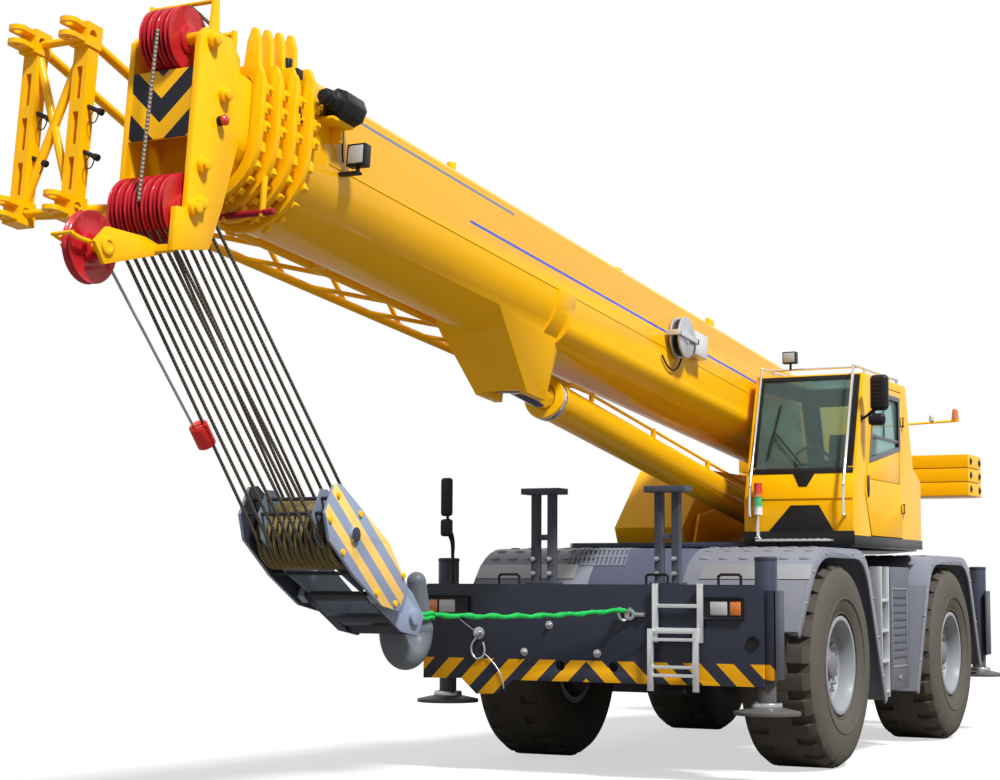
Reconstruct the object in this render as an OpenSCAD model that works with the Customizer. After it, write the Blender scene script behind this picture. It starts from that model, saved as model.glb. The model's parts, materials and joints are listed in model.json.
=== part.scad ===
// Two-axle rough terrain crane with a five-part telescopic boom stowed over the front.
// Millimetres, +X forward, +Y to the crane's left, +Z up, origin on the ground under the slewing axis.

/* [Carrier] */
// Distance from the slewing axis forward to the front axle
front_axle_x = 1980; // [1800:10:2200]
// Distance from the slewing axis back to the rear axle
rear_axle_x = 2040; // [1800:10:2300]
// Half width of the main frame
frame_hw = 430; // [380:5:450]
// Height of the fender tops over the ground
fender_top = 2000; // [1970:1:2000]
// Half width over the fenders
fender_hw = 1660; // [1600:5:1700]
// Front face of the bumper
bumper_x = 3980; // [3970:1:4000]

/* [Wheels] */
// Tyre radius over the lugs
tyre_r = 930; // [900:1:935]
// Tyre width
tyre_w = 740; // [680:5:750]
// Half track, to the middle of the tyre
half_track = 1320; // [1300:5:1350]
// Rim seat radius
rim_r = 420; // [400:1:430]
// Kingpin distance from the middle plane
kingpin_y = 740; // [730:1:750]

/* [Outriggers] */
// Beam width
beam_w = 200; // [180:1:202]
// Beam height
beam_h = 300; // [280:1:302]
// Jack cylinder radius
jack_r = 95; // [90:1:97]
// Jack distance from the middle plane
jack_y = 1580; // [1575:1:1590]
// Float radius
float_r = 280; // [240:5:290]

/* [Boom] */
// Boom angle over the horizontal as parked
boom_angle = 5.55; // [0:0.05:8]
// Half width of the base section
boom_hw = 410; // [400:1:412]
// Base section's top over the boom line
boom_top = 635; // [620:1:640]
// Base section's underside below the boom line
boom_bottom = 310; // [300:1:315]
// Height of the weld line where the flat side turns into the round belly
boom_crease = 152; // [120:1:170]
// Step from one section's outline to the next
section_step = 36; // [34:1:37]
// Wall of the base section
base_wall = 12; // [10:1:12]
// Wall of the telescoping sections
section_wall = 10; // [8:1:11]

/* [Luffing cylinder] */
// Barrel radius
barrel_r = 165; // [150:1:175]
// Rod radius
rod_r = 110; // [100:1:115]

/* [Hook] */
// Lean of the rope falls from plumb, held back by the sling
fall_angle = 42.7; // [40:0.1:45]
// Lean of the hook block from plumb
block_angle = 60; // [56:0.5:64]
// Falls from the head's sheave axle to the block's
fall_length = 2560; // [2500:10:2700]
// Rope radius
rope_r = 11; // [9:0.5:13]

/* [Hidden] */
$fn = 48;
front_x = front_axle_x;
back_x = -rear_axle_x;
boom_ref = [-1900, 0, 3150];
bs = sin(boom_angle);
bc = cos(boom_angle);
// A point given along and square to the boom line, in the crane's frame
function on(s, h) = [boom_ref[0] + s * bc - h * bs, 0, boom_ref[2] + s * bs + h * bc];
foot = on(-500, 0);
rod_eye = on(7300, -560);
barrel_pin = [-1200, 0, 2300];
cyl_len = norm(rod_eye - barrel_pin);
cyl_angle = atan2(rod_eye[2] - barrel_pin[2], rod_eye[0] - barrel_pin[0]);
sheave_s = 12050;
sheave_h = -470;
head_r = 215;
head_pitch = 62;
// Inner face of the head's cheek plates
head_y = 222;
fall_top = on(sheave_s, sheave_h);
gap = 0.3;
// Hook block sheaves, and the hook's bowl seen from the block's axle
block_r = 195;
block_pitch = 84;
hook_x = -90;
hook_z = -1450;
hook_ring = 190;
hook_r = 100;
hook_tip = 350;
// Sling's near end in front of the tip
sling_start = 272;
// Upper and lower end of fall i on side x, at the sheaves' tangents
function fall_end(x, i, e) = e == 0 ? [x * (head_r + 2), i * head_pitch, 0] :
    [x * (block_r + rope_r + 2), i * block_pitch, -fall_length];
// A point of the hook block's frame in the crane's frame
function on_block(x, z) = fall_top - fall_length * [sin(fall_angle), 0, cos(fall_angle)]
    + [x * cos(block_angle) + z * sin(block_angle), 0, z * cos(block_angle) - x * sin(block_angle)];
beam_z = 1020;
// Reach of the fenders' rounded corners
fender_bend = 330;
// Shoulder lugs of a tyre and the gaps between them
lug_count = 24;
lug_gap = 88;
lug_deep = 46;
wheel_z = tyre_r;
// Door hinge line and its two hinges
hinge_x = -425;
hinge_y = 1600;
hinge_z = [2450, 3350];

// Folds of the round belly
belly_n = 17;
// Flange plates at the sections' ends, with a rope guide fin left of the middle
flange_t = 45;
fin_y = 250;

// Half width, top and bottom of boom section k, 1 for the base
function sec_hw(k) = boom_hw - section_step * (k - 1);
function sec_top(k) = boom_top - 30 * (k - 1);
function sec_bot(k) = -boom_bottom + 32 * (k - 1);
// Closed outline of a boom section grown by g: flat sides and a folded round belly
function outline(k, g, crease) = concat(
    [[-sec_hw(k) - g, sec_top(k) - 40], [-sec_hw(k) - g + 40, sec_top(k) + g]],
    [[sec_hw(k) + g - 40, sec_top(k) + g], [sec_hw(k) + g, sec_top(k) - 40]],
    [for (i = [0:belly_n]) let (a = 180 * i / belly_n) [(sec_hw(k) + g) * cos(a),
        crease - (crease - sec_bot(k) + g) * sin(a) / sin(90 - 90 / belly_n)]]);

// Solids given by their corners
module box(x0, x1, y0, y1, z0, z1) {
    translate([x0, y0, z0]) cube([x1 - x0, y1 - y0, z1 - z0]);
}

// Flat shape drawn in X and Z, made solid from y0 to y1
module side_plate(y0, y1) {
    translate([0, y1, 0]) rotate([90, 0, 0]) linear_extrude(y1 - y0) children();
}

// Flat shape drawn in Y and Z, made solid from x0 to x1
module front_plate(x0, x1) {
    translate([x0, 0, 0]) rotate([90, 0, 90]) linear_extrude(x1 - x0) children();
}

// Round bar between two points
module bar(a, b, r) {
    d = b - a;
    translate(a) rotate([0, acos(d[2] / norm(d)), atan2(d[1], d[0])]) cylinder(h = norm(d), r = r);
}

// Round bar along Y
module cross_bar(x, z, y0, y1, r) {
    translate([x, y1, z]) rotate([90, 0, 0]) cylinder(h = y1 - y0, r = r);
}

// A line of points with its inner corners drawn round over a reach
function unit(v) = v / norm(v);
function fold(a, b, c, reach) = let (p = b + reach * unit(a - b), q = b + reach * unit(c - b))
    [for (t = [0:0.2:1]) (1 - t) * (1 - t) * p + 2 * t * (1 - t) * b + t * t * q];
function rounded(p, reach) = concat([p[0]],
    [for (i = [1:len(p) - 2]) each fold(p[i - 1], p[i], p[i + 1], reach)], [p[len(p) - 1]]);

// Outline of a band of width t along a line of points
function normal_at(p, i) = let (d = unit(p[min(i + 1, len(p) - 1)] - p[max(i - 1, 0)])) [-d[1], d[0]];
function band(p, t) = concat([for (i = [0:len(p) - 1]) p[i] + t / 2 * normal_at(p, i)],
    [for (i = [len(p) - 1:-1:0]) p[i] - t / 2 * normal_at(p, i)]);

// Bent round rail through a line of points
module rail(pts, r) {
    for (i = [0:len(pts) - 2]) bar(pts[i], pts[i + 1], i % 2 == 0 ? r : r * 0.93);
    for (i = [1:len(pts) - 2]) translate(pts[i]) sphere(r = r * 1.2);
}

// Both sides of the crane
module both() {
    children();
    mirror([0, 1, 0]) children();
}

// Boom line as X, square to it as Z
module boom_frame() {
    translate(boom_ref) rotate([0, -boom_angle, 0]) children();
}

// Cylinder line as X, from the barrel's pin
module cylinder_frame() {
    translate(barrel_pin) rotate([0, -cyl_angle, 0]) children();
}

// Rope falls hang along -Z from the head's lower sheaves, then lean back
module fall_frame() {
    translate(fall_top) rotate([0, fall_angle, 0]) children();
}

// Hook block from its sheave axle, the hook along -Z
module block_frame() {
    translate(on_block(0, 0)) rotate([0, block_angle, 0]) children();
}

// Welded main frame with the outrigger boxes and the slewing ring's seat
module carrier_frame() {
    color([0.16, 0.18, 0.23]) difference() {
        union() {
            side_plate(-frame_hw, frame_hw) polygon([
                [-3490, 980], [-2640, 980], [-2490, 1250], [back_x + 450, 1250], [-1440, 950],
                [1380, 950], [front_x - 450, 1250], [front_x + 450, 1250], [2580, 980], [3420, 980],
                [3420, 1620], [-3490, 1620]]);
            box(3420, 3940, -1460, 1460, 980, 1360);
            box(-4040, -3490, -1460, 1460, 980, 1360);
            translate([0, 0, 1380]) cylinder(h = 240, r = 850);
            translate([0, 0, 1620]) cylinder(h = 230, r = 780, $fn = 96);
        }
        box(-3300, -1350, -380, 380, 1400, 1700);
        box(-1300, 1250, 25 - frame_hw, frame_hw - 25, 975, 1595);
        box(2640, 3395, 25 - frame_hw, frame_hw - 25, 1005, 1595);
        box(2750, 3250, -200, 200, 950, 1050);
        translate([0, 0, 1500]) cylinder(h = 400, r = 560);
        for (x = [3570, 3820, -3640, -3890])
            box(x - 105, x + 105, -1500, 1500, beam_z - gap, beam_z + 308);
    }
}

// Front plate and top cover of the front outrigger box
module bumper() {
    color([0.17, 0.19, 0.25]) {
        difference() {
            front_plate(3940, bumper_x) polygon([
                [-1610, 814], [-1220, 820], [-1070, 685], [-850, 695], [-700, 816], [1610, 816],
                [1610, 1620], [1573, 1657], [-1573, 1657], [-1610, 1620]]);
            for (y = [-250, 250]) translate([3900, y, 950]) rotate([0, 90, 0]) cylinder(h = 200, r = 45);
        }
        box(3300, 3940, -1460, 1460, 1637, 1657);
        both() box(3430, 3940, 1425, 1455, 1360, 1637);
        both() box(3430, 3940, 500, 530, 1360, 1637);
    }
}

// Deck over the front frame and hood over the engine
module deck_covers() {
    color([0.2, 0.22, 0.27]) {
        difference() {
            side_plate(-470, 470) polygon([[1000, 1620], [2950, 1620], [2660, 1990], [1000, 1990]]);
            side_plate(-450, 450) polygon([[1020, 1600], [2940, 1600], [2648, 1970], [1020, 1970]]);
        }
        difference() {
            front_plate(-3420, -1000) polygon([[-470, 1620], [470, 1620], [470, 1980], [-470, 1980]]);
            box(-3400, -1020, -450, 450, 1600, 1960);
            for (i = [0:7]) box(-3440, -3360, -340, 340, 1660 + 32 * i, 1676 + 32 * i);
        }
    }
}

// Engine block under the hood
module engine() {
    color([0.3, 0.31, 0.33]) box(-3200, -1500, -350, 350, 1400, 1930);
}

// Arched fenders over the four wheels, with a flange down from each outer edge
module fenders() {
    front_line = [[500, 547], [1160, fender_top - 12], [2660, fender_top - 12], [3240, 1250]];
    rear_line = [[-600, 579], [-1200, fender_top - 26], [-2860, fender_top - 26], [-3420, 763]];
    front_flange = [[530, 533], [1181, fender_top - 45], [2644, fender_top - 45], [3214, 1230]];
    rear_flange = [[-630, 566], [-1221, fender_top - 59], [-2839, fender_top - 59], [-3390, 749]];
    color([0.36, 0.39, 0.44]) both() {
        for (line = [front_line, rear_line])
            side_plate(470, fender_hw) polygon(band(rounded(line, fender_bend), 24));
        for (line = [front_flange, rear_flange])
            side_plate(fender_hw - 20, fender_hw) polygon(band(rounded(line, fender_bend), 90));
    }
}

// Tool locker on the left and tank on the right between the wheels
module side_lockers() {
    color([0.3, 0.32, 0.36]) {
        difference() {
            side_plate(900, 1600) polygon([[-500, 620], [150, 620], [150, 1800], [100, 1850],
                [-560, 1850], [-560, 1400]]);
            side_plate(920, 1580) polygon([[-480, 640], [130, 640], [130, 1792], [92, 1830],
                [-540, 1830], [-540, 1404]]);
            box(-420, 70, 880, 950, 1300, 1780);
            for (x = [-420:80:20]) for (z = [920:75:1520]) box(x, x + 46, 1570, 1610, z, z + 22);
        }
        box(-400, 50, frame_hw, 900, 990, 1200);
        difference() {
            side_plate(-1600, -900) polygon([[-540, 680], [-480, 620], [380, 620], [440, 680],
                [440, 1740], [380, 1800], [-480, 1800], [-540, 1740]]);
            side_plate(-1580, -920) polygon([[-520, 688], [-472, 640], [372, 640], [420, 688],
                [420, 1732], [372, 1780], [-472, 1780], [-520, 1732]]);
            box(-420, 320, -950, -880, 1300, 1740);
        }
        box(-400, 300, -900, -frame_hw, 990, 1200);
    }
}

// Access ladders at the bumper and beside the locker
module ladders() {
    color([0.75, 0.77, 0.8]) {
        for (y = [660, 1066]) box(4005, 4030, y - 26, y + 26, 1170, 1665);
        for (z = [1260, 1460]) box(4005, 4030, 680, 1050, z, z + 34);
        for (y = [626, 1036]) box(4030, 4056, y - 26, y + 26, 762, 1285);
        for (z = [880, 950, 1180, 1245]) box(4030, 4056, 650, 1012, z, z + 28);
        for (y = [660, 1066]) for (z = [1190, 1560]) box(bumper_x, 4005, y - 15, y + 15, z, z + 40);
        for (x = [200, 450]) box(x - 12, x + 12, 1480, 1600, 560, 1850);
        for (z = [600, 900, 1200, 1500]) box(212, 438, 1500, 1600, z, z + 30);
        for (z = [700, 1700]) box(150, 188, 1520, 1560, z, z + 40);
    }
}

// Posts that carry the boom's wide rest plate when it is lowered
module boom_rests() {
    color([0.2, 0.22, 0.26]) both() {
        for (y = [520, 680]) box(3540, 3610, y - 35, y + 35, 1677, 2460);
        box(3480, 3670, 460, 740, 1657, 1677);
        box(3550, 3600, 555, 645, 2050, 2100);
        box(3480, 3670, 410, 790, 2460, 2515);
    }
}

// Head lamps and rear lamps
module carrier_lamps() {
    color([0.85, 0.86, 0.88]) {
        box(bumper_x, 4015, 1110, 1445, 1368, 1540);
        box(bumper_x, 4015, -1570, -1235, 1368, 1540);
        both() box(-4075, -4040, 1100, 1400, 1180, 1300);
    }
}

// Two-part mirror on a bent arm at the right front corner
module carrier_mirror() {
    color([0.08, 0.08, 0.09]) {
        bar([3800, -1415, 1657], [3800, -1415, 2050], 16);
        bar([3800, -1415, 2040], [3920, -1415, 2140], 16);
        bar([3920, -1415, 2130], [3920, -1415, 2560], 14);
        box(3925, 3975, -1520, -1340, 2300, 2580);
        box(3925, 3975, -1500, -1360, 2130, 2270);
    }
}

// Driven axle with a differential bowl and steering forks, middle at x
module axle(x) {
    color([0.14, 0.15, 0.17]) difference() {
        union() {
            cross_bar(x, wheel_z, -600, 600, 150);
            translate([x, 0, wheel_z]) sphere(r = 280);
            both() box(x - 150, x + 150, 230, 410, wheel_z, 1250);
            both() box(x - 120, x + 120, 550, 600, wheel_z - 225, wheel_z + 225);
            both() for (z = [wheel_z - 225, wheel_z + 185]) box(x - 120, x + 120, 590, 860, z, z + 40);
        }
        both() translate([x, kingpin_y, 0]) cylinder(h = 2000, r = 45 + gap);
    }
}
module front_axle() axle(front_x);
module rear_axle() axle(back_x);

// Steering knuckle with its kingpin and wheel spindle
module knuckle(x, side) {
    color([0.14, 0.15, 0.17]) scale([1, 1, 1]) mirror([0, side < 0 ? 1 : 0, 0]) {
        translate([x, kingpin_y, wheel_z - 175]) cylinder(h = 350, r = 110);
        translate([x, kingpin_y, wheel_z - 225]) cylinder(h = 450, r = 45);
        cross_bar(x, wheel_z, kingpin_y, half_track + 100, 120);
        cross_bar(x, wheel_z, 960, 1090, 300);
    }
}
module knuckle_front_left() knuckle(front_x, 1);
module knuckle_front_right() knuckle(front_x, -1);
module knuckle_rear_left() knuckle(back_x, 1);
module knuckle_rear_right() knuckle(back_x, -1);

// Wheel frame: Z along the axle pointing outwards, middle of the tyre at 0
module wheel_frame(x, side) {
    translate([x, side * half_track, wheel_z]) rotate([side > 0 ? -90 : 90, 0, 0]) children();
}

// Radius a share f of the way up the tyre's wall
function wall_r(f) = rim_r + f * (tyre_r - rim_r);

// Wide earthmover tyre with staggered shoulder lugs
module tyre(x, side) {
    hw = tyre_w / 2;
    outside = [[rim_r, hw - 90], [wall_r(0.16), hw - 25], [wall_r(0.4), hw], [wall_r(0.73), hw - 5],
        [wall_r(0.9), hw - 40], [tyre_r, hw - 110]];
    inside = [[wall_r(0.84), hw - 110], [wall_r(0.4), hw - 55], [rim_r, hw - 160]];
    color([0.09, 0.085, 0.08]) wheel_frame(x, side) difference() {
        rotate_extrude() polygon(concat(
            outside, [for (i = [5:-1:0]) [outside[i][0], -outside[i][1]]],
            [for (i = [2:-1:0]) [inside[i][0], -inside[i][1]]], inside));
        for (i = [1:lug_count]) for (s = [0, 1]) rotate(360 / lug_count * (i + s / 2))
            mirror([0, 0, s]) translate([tyre_r - lug_deep, -lug_gap / 2, 120]) cube([100, lug_gap, hw]);
    }
}
module tyre_front_left() tyre(front_x, 1);
module tyre_front_right() tyre(front_x, -1);
module tyre_rear_left() tyre(back_x, 1);
module tyre_rear_right() tyre(back_x, -1);

// Steel rim with a dished disc and a hub
module rim(x, side) {
    r = rim_r - gap;
    color([0.85, 0.86, 0.87]) wheel_frame(x, side) rotate_extrude($fn = 96) polygon([
        [365, -300], [r, -300], [r, 312], [450, 316], [450, 332], [410, 332], [380, 260],
        [365, 100], [300, 60], [220, 60], [220, 160], [170, 190], [120 + gap, 190], [120 + gap, 20],
        [300, 20], [365, 40]]);
}
module rim_front_left() rim(front_x, 1);
module rim_front_right() rim(front_x, -1);
module rim_rear_left() rim(back_x, 1);
module rim_rear_right() rim(back_x, -1);

// Outrigger beam with the jack cylinder at its outer end
module outrigger_beam(x, side) {
    color([0.17, 0.19, 0.24]) mirror([0, side < 0 ? 1 : 0, 0]) difference() {
        union() {
            box(x - beam_w / 2, x + beam_w / 2, -1400, jack_y, beam_z, beam_z + beam_h);
            translate([x, jack_y, 860]) cylinder(h = 1004, r = jack_r);
        }
        translate([x, jack_y, 800]) cylinder(h = 1000, r = 78);
    }
}
module beam_front_left() outrigger_beam(3820, 1);
module beam_front_right() outrigger_beam(3570, -1);
module beam_rear_left() outrigger_beam(-3640, 1);
module beam_rear_right() outrigger_beam(-3890, -1);

// Jack leg with its round float, underside of the float at z
module outrigger_jack(x, side, z) {
    color([0.22, 0.23, 0.26]) translate([x, side * jack_y, z]) {
        rotate_extrude() polygon([[0, 0], [float_r, 0], [float_r, 30], [140, 60], [80, 70],
            [78 - gap, 120], [78 - gap, 1160], [0, 1160]]);
    }
}
module jack_front_left() outrigger_jack(3820, 1, 580);
module jack_front_right() outrigger_jack(3570, -1, 580);
module jack_rear_left() outrigger_jack(-3640, 1, 620);
module jack_rear_right() outrigger_jack(-3890, -1, 620);

// Turntable with the boom foot's cheeks, foot pin and the luffing cylinder's pin
module turntable() {
    color([0.93, 0.62, 0.03]) {
        difference() {
            translate([0, 0, 1850 + gap]) cylinder(h = 200, r = 780, $fn = 96);
            translate([0, 0, 1800]) cylinder(h = 235, r = 560);
        }
        translate([0, 0, 2030]) linear_extrude(50) polygon([[-3050, -600], [-3050, 600], [-1250, 1500],
            [1100, 1500], [1250, 1400], [1250, -1400], [1100, -1500], [-1250, -1500]]);
        both() side_plate(430, 465) polygon([[-3830, 2760], [-3830, 3120], [-2900, 3360],
            [foot[0] + 120, 3360], [foot[0] + 330, 3180], [-1250, 2620], [150, 2400], [300, 2080],
            [-3050, 2080], [-3250, 2420]]);
        cross_bar(foot[0], foot[2], -440, 440, 85);
        cross_bar(barrel_pin[0], barrel_pin[2], -440, 440, 70);
    }
}

// Slab counterweight behind the turntable
module counterweight() {
    color([0.93, 0.62, 0.03]) {
        for (i = [0:2]) translate([0, 0, 2745 + 168 * i]) linear_extrude(158) polygon([[-3830, -1450],
            [-4480, -1450], [-4600, -1300], [-4600, 1300], [-4480, 1450], [-3830, 1450]]);
        box(-4560, -3870, -1380, 1380, 2760, 3220);
    }
}

// Main and auxiliary winch drums
module winches() {
    color([0.25, 0.26, 0.28]) for (p = [[-3230, 2620], [-3560, 2960]]) {
        cross_bar(p[0], p[1], -380, 380, 150);
        for (y = [-400, 380]) cross_bar(p[0], p[1], y, y + 20, 250);
        cross_bar(p[0], p[1], -430, 430, 60);
    }
}

// Outline of the cab seen from the side
module cab_side(g) {
    polygon([[1300 - g, 2080 + g], [1300 - g, 2480], [900 - g, 3740 - g], [-600 + g, 3740 - g],
        [-850 + g, 2900], [-1150 + g, 2760], [-1150 + g, 2080 + g]]);
}

// Hollow cab with its window and door openings
module cab_shell() {
    color([0.93, 0.62, 0.03]) difference() {
        side_plate(480, 1580) cab_side(0);
        side_plate(520, 1540) cab_side(40);
        side_plate(560, 1500) polygon([[1500, 2560], [1200, 2560], [800, 3700], [1500, 3700]]);
        side_plate(1530, 1600) polygon([[720, 2140], [900, 2560], [640, 3660], [-420, 3660], [-420, 2140]]);
        side_plate(470, 530) polygon([[1080, 2640], [800, 3600], [-480, 3600], [-700, 2960], [-700, 2640]]);
        box(-1200, -560, 640, 1420, 3000, 3560);
        box(-400, 700, 620, 1440, 3650, 3800);
    }
    color([0.93, 0.62, 0.03]) for (z = hinge_z) {
        for (dz = [-50, 40]) box(-470, -411, 1580, 1614, z + dz, z + dz + 10);
        translate([hinge_x, hinge_y, z - 50]) cylinder(h = 100, r = 8);
    }
}

// Windscreen, side, rear and roof panes
module cab_glass() {
    color([0.1, 0.13, 0.15, 0.5]) {
        side_plate(560, 1500) polygon([[1276, 2560], [1266, 2560], [904, 3700], [914, 3700]]);
        side_plate(500, 510) polygon([[1080, 2640], [800, 3600], [-480, 3600], [-700, 2960], [-700, 2640]]);
        box(-400, 700, 620, 1440, 3710, 3720);
        side_plate(640, 1420) polygon([[-822, 3000], [-812, 3000], [-656, 3560], [-666, 3560]]);
    }
}

// Seat and control consoles
module cab_interior() {
    color([0.1, 0.1, 0.11]) {
        box(-520, 60, 790, 1250, 2120, 2420);
        box(-520, 40, 770, 1270, 2420, 2560);
        side_plate(780, 1260) polygon([[-520, 2560], [-380, 2560], [-520, 3250], [-640, 3250]]);
        for (y = [600, 1290]) box(-350, 350, y, y + 140, 2120, 2720);
        box(900, 1200, 800, 1250, 2120, 2520);
    }
}

// Hand rails at the front pillars and round the roof
module cab_rails() {
    color([0.8, 0.82, 0.84]) {
        for (y = [560, 1500]) {
            rail([[1300, y, 2330], [1360, y, 2330], [1360, y, 2620], [975, y, 3810], [-560, y, 3810],
                [-560, y, 3740]], 15);
            bar([600, y, 3740], [600, y, 3808], 12);
        }
        bar([800, 560, 3810], [800, 1500, 3810], 12);
        bar([-400, 560, 3810], [-400, 1500, 3810], 12);
    }
}

// Mirror beside the front pillar
module cab_mirror() {
    color([0.06, 0.06, 0.07]) {
        box(980, 1020, 1580, 1592, 3250, 3310);
        bar([1000, 1600, 3280], [1050, 1700, 3350], 14);
        bar([1000, 1592, 3280], [1000, 1602, 3280], 17);
        bar([1050, 1700, 3200], [1050, 1700, 3700], 14);
        box(1000, 1100, 1690, 1875, 3345, 3700);
        box(1005, 1095, 1660, 1835, 3200, 3320);
    }
}

// Door on the cab's left side, hinged at its rear edge
module cab_door() {
    color([0.93, 0.62, 0.03]) difference() {
        side_plate(1545, 1585) polygon([[705, 2150], [888, 2562], [632, 3650], [-408, 3650], [-408, 2150]]);
        side_plate(1500, 1600) polygon([[800, 2700], [590, 3580], [-330, 3580], [-330, 2700]]);
    }
    color([0.93, 0.62, 0.03]) for (z = hinge_z) difference() {
        union() {
            translate([hinge_x, hinge_y, z - 39]) cylinder(h = 78, r = 15);
            box(hinge_x, -350, 1585, 1597, z - 39, z + 39);
        }
        translate([hinge_x, hinge_y, z - 60]) cylinder(h = 120, r = 8 + gap);
    }
}

// Door window
module door_glass() {
    color([0.1, 0.13, 0.15, 0.5]) side_plate(1560, 1568) polygon([[800, 2700], [590, 3580],
        [-330, 3580], [-330, 2700]]);
}

// Sloped equipment housing on the right of the turntable
module side_housing() {
    color([0.93, 0.62, 0.03]) difference() {
        side_plate(-1300, -520) polygon([[330, 2080], [420, 2260], [-280, 2900], [-1600, 2900],
            [-1900, 2600], [-1900, 2080]]);
        side_plate(-1285, -535) polygon([[315, 2070], [403, 2256], [-287, 2885], [-1594, 2885],
            [-1885, 2594], [-1885, 2070]]);
    }
}

// Signal column beside the cab and rotating beacon on an arm at the rear
module signal_lamps() {
    color([0.9, 0.45, 0.05]) {
        translate([1350, 640, 2110]) cylinder(h = 520, r = 32);
        box(1300, 1340, 615, 665, 2130, 2170);
        bar([-2800, 447, 3360], [-2800, 447, 3510], 17);
        translate([-2800, 447, 3510]) sphere(r = 20);
        bar([-2800, 447, 3510], [-3440, 1400, 3620], 16);
        translate([-3440, 1400, 3600]) cylinder(h = 160, r = 45);
    }
}

// Tube of boom section k between two stations, with its end collar
module boom_tube(k, s0, s1, wall, c0, c1) {
    difference() {
        union() {
            front_plate(s0, s1) polygon(outline(k, 0, boom_crease));
            front_plate(c0, c1) polygon(outline(k, 14, boom_crease));
            front_plate(c1 - flange_t, c1) polygon(outline(k, 48, boom_crease));
            front_plate(c1 - flange_t, c1) translate([fin_y, sec_top(k)])
                polygon([[-60, 0], [-42, 210], [-14, 296], [14, 296], [42, 210], [60, 0]]);
            children();
        }
        front_plate(s0 - 10, c0 + 20) polygon(outline(k, -wall, boom_crease));
        front_plate(c0, c1 + 10) polygon(outline(k + 1, 8, boom_crease));
    }
    both() box(c0 + 40, c1 - 20, 120, 260, sec_top(k + 1) + gap, sec_top(k + 1) + 12);
    box(c0 + 40, c1 - 20, -60, 60, sec_bot(k + 1) - 12, sec_bot(k + 1) - gap);
}

// Base section with the luffing bracket and the foot bush
module boom_base() {
    color([0.95, 0.65, 0.04]) boom_frame() difference() {
        union() {
            boom_tube(1, -750, 11170, base_wall, 10870, 11170) {
                front_plate(-750, 7150) polygon(outline(1, 0, -87));
                intersection() {
                    front_plate(7060, 7380) polygon(outline(1, 22, boom_crease));
                    box(7000, 7400, -600, 600, -400, 160);
                }
                intersection() {
                    side_plate(-320, 320) polygon([[7060, -60], [8300, -60], [7480, -710], [7140, -710]]);
                    front_plate(7000, 8400) polygon([[-320, -60], [320, -60], [230, -710], [-230, -710]]);
                }
            }
            cross_bar(-500, 0, -400, 400, 150);
        }
        cross_bar(-500, 0, -600, 600, 85 + gap);
        box(6900, 7500, -165, 165, -900, -365);
    }
}

module boom_section_2() {
    color([0.95, 0.65, 0.04]) boom_frame() boom_tube(2, 100, 11300, section_wall, 11190, 11300);
}
module boom_section_3() {
    color([0.95, 0.65, 0.04]) boom_frame() boom_tube(3, 200, 11430, section_wall, 11320, 11430);
}
module boom_section_4() {
    color([0.95, 0.65, 0.04]) boom_frame() boom_tube(4, 300, 11560, section_wall, 11450, 11560);
}

// Innermost section with the boom head
module boom_section_5() {
    color([0.95, 0.65, 0.04]) boom_frame() {
        difference() {
            front_plate(400, 11760) polygon(outline(5, 0, boom_crease));
            front_plate(390, 11740) polygon(outline(5, -section_wall, boom_crease));
        }
        both() side_plate(head_y, head_y + 38) polygon([[12105, 600], [12050, 660], [11800, 680],
            [11690, 580], [11665, 160], [11650, 30], [11763, -400], [11860, -675], [12207, -765],
            [12207, -500], [12105, -480]]);
        both() side_plate(head_y, head_y + 25)
            polygon([[11900, 640], [11990, 640], [11975, 885], [11930, 885]]);
        cross_bar(11952, 868, -head_y - 10, head_y + 10, 14);
        box(11740, 11760, -240, 240, -140, 480);
        box(12075, 12100, -head_y - 5, head_y + 5, -30, 400);
        cross_bar(sheave_s, sheave_h, -head_y - 10, head_y + 10, 40);
        cross_bar(12020, 610, -head_y - 10, head_y + 10, 40);
        both() side_plate(100, 125) polygon([[12160, -775], [12640, -950], [12740, -840], [12640, -730],
            [12300, -700], [12160, -715]]);
        both() box(12155, 12205, 110, head_y + 10, -765, -725);
        cross_bar(12630, -840, -120, 120, 30);
    }
}

// Rope sheaves of the boom head
module head_sheaves() {
    color([0.75, 0.06, 0.09]) boom_frame() {
        for (i = [-3:3]) sheave(sheave_s, sheave_h, i * head_pitch, head_r, 26, 40);
        for (i = [-1.5:1.5]) sheave(12020, 610, i * head_pitch, 205, 26, 40);
        sheave(12630, -840, 0, 210, 35, 30);
    }
}

// Grooved sheave on a shaft of radius b
module sheave(s, h, y, r, hw, b) {
    translate([s, y, h]) rotate([90, 0, 0]) rotate_extrude() polygon([[b + gap, -hw], [90, -hw], [90, -12],
        [r - 45, -12], [r, -hw + 6], [r, -hw + 14], [r - 28, 0], [r, hw - 14], [r, hw - 6], [r - 45, 12],
        [90, 12], [90, hw], [b + gap, hw]]);
}

// Pinned corner of the jib's end frame: a drilled block and two eye plates
module jib_lug(y, h) {
    difference() {
        union() {
            box(12050, 12200, y - 65, y + 65, h - 75, h + 75);
            for (z = [h - 60, h + 30]) {
                box(12190, 12290, y - 58, y + 58, z, z + 30);
                translate([12290, y, z]) cylinder(h = 30, r = 60);
            }
        }
        translate([12290, y, h - 100]) cylinder(h = 200, r = 28);
        cross_bar(12135, h, y - 100, y + 100, 34);
    }
}

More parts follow.
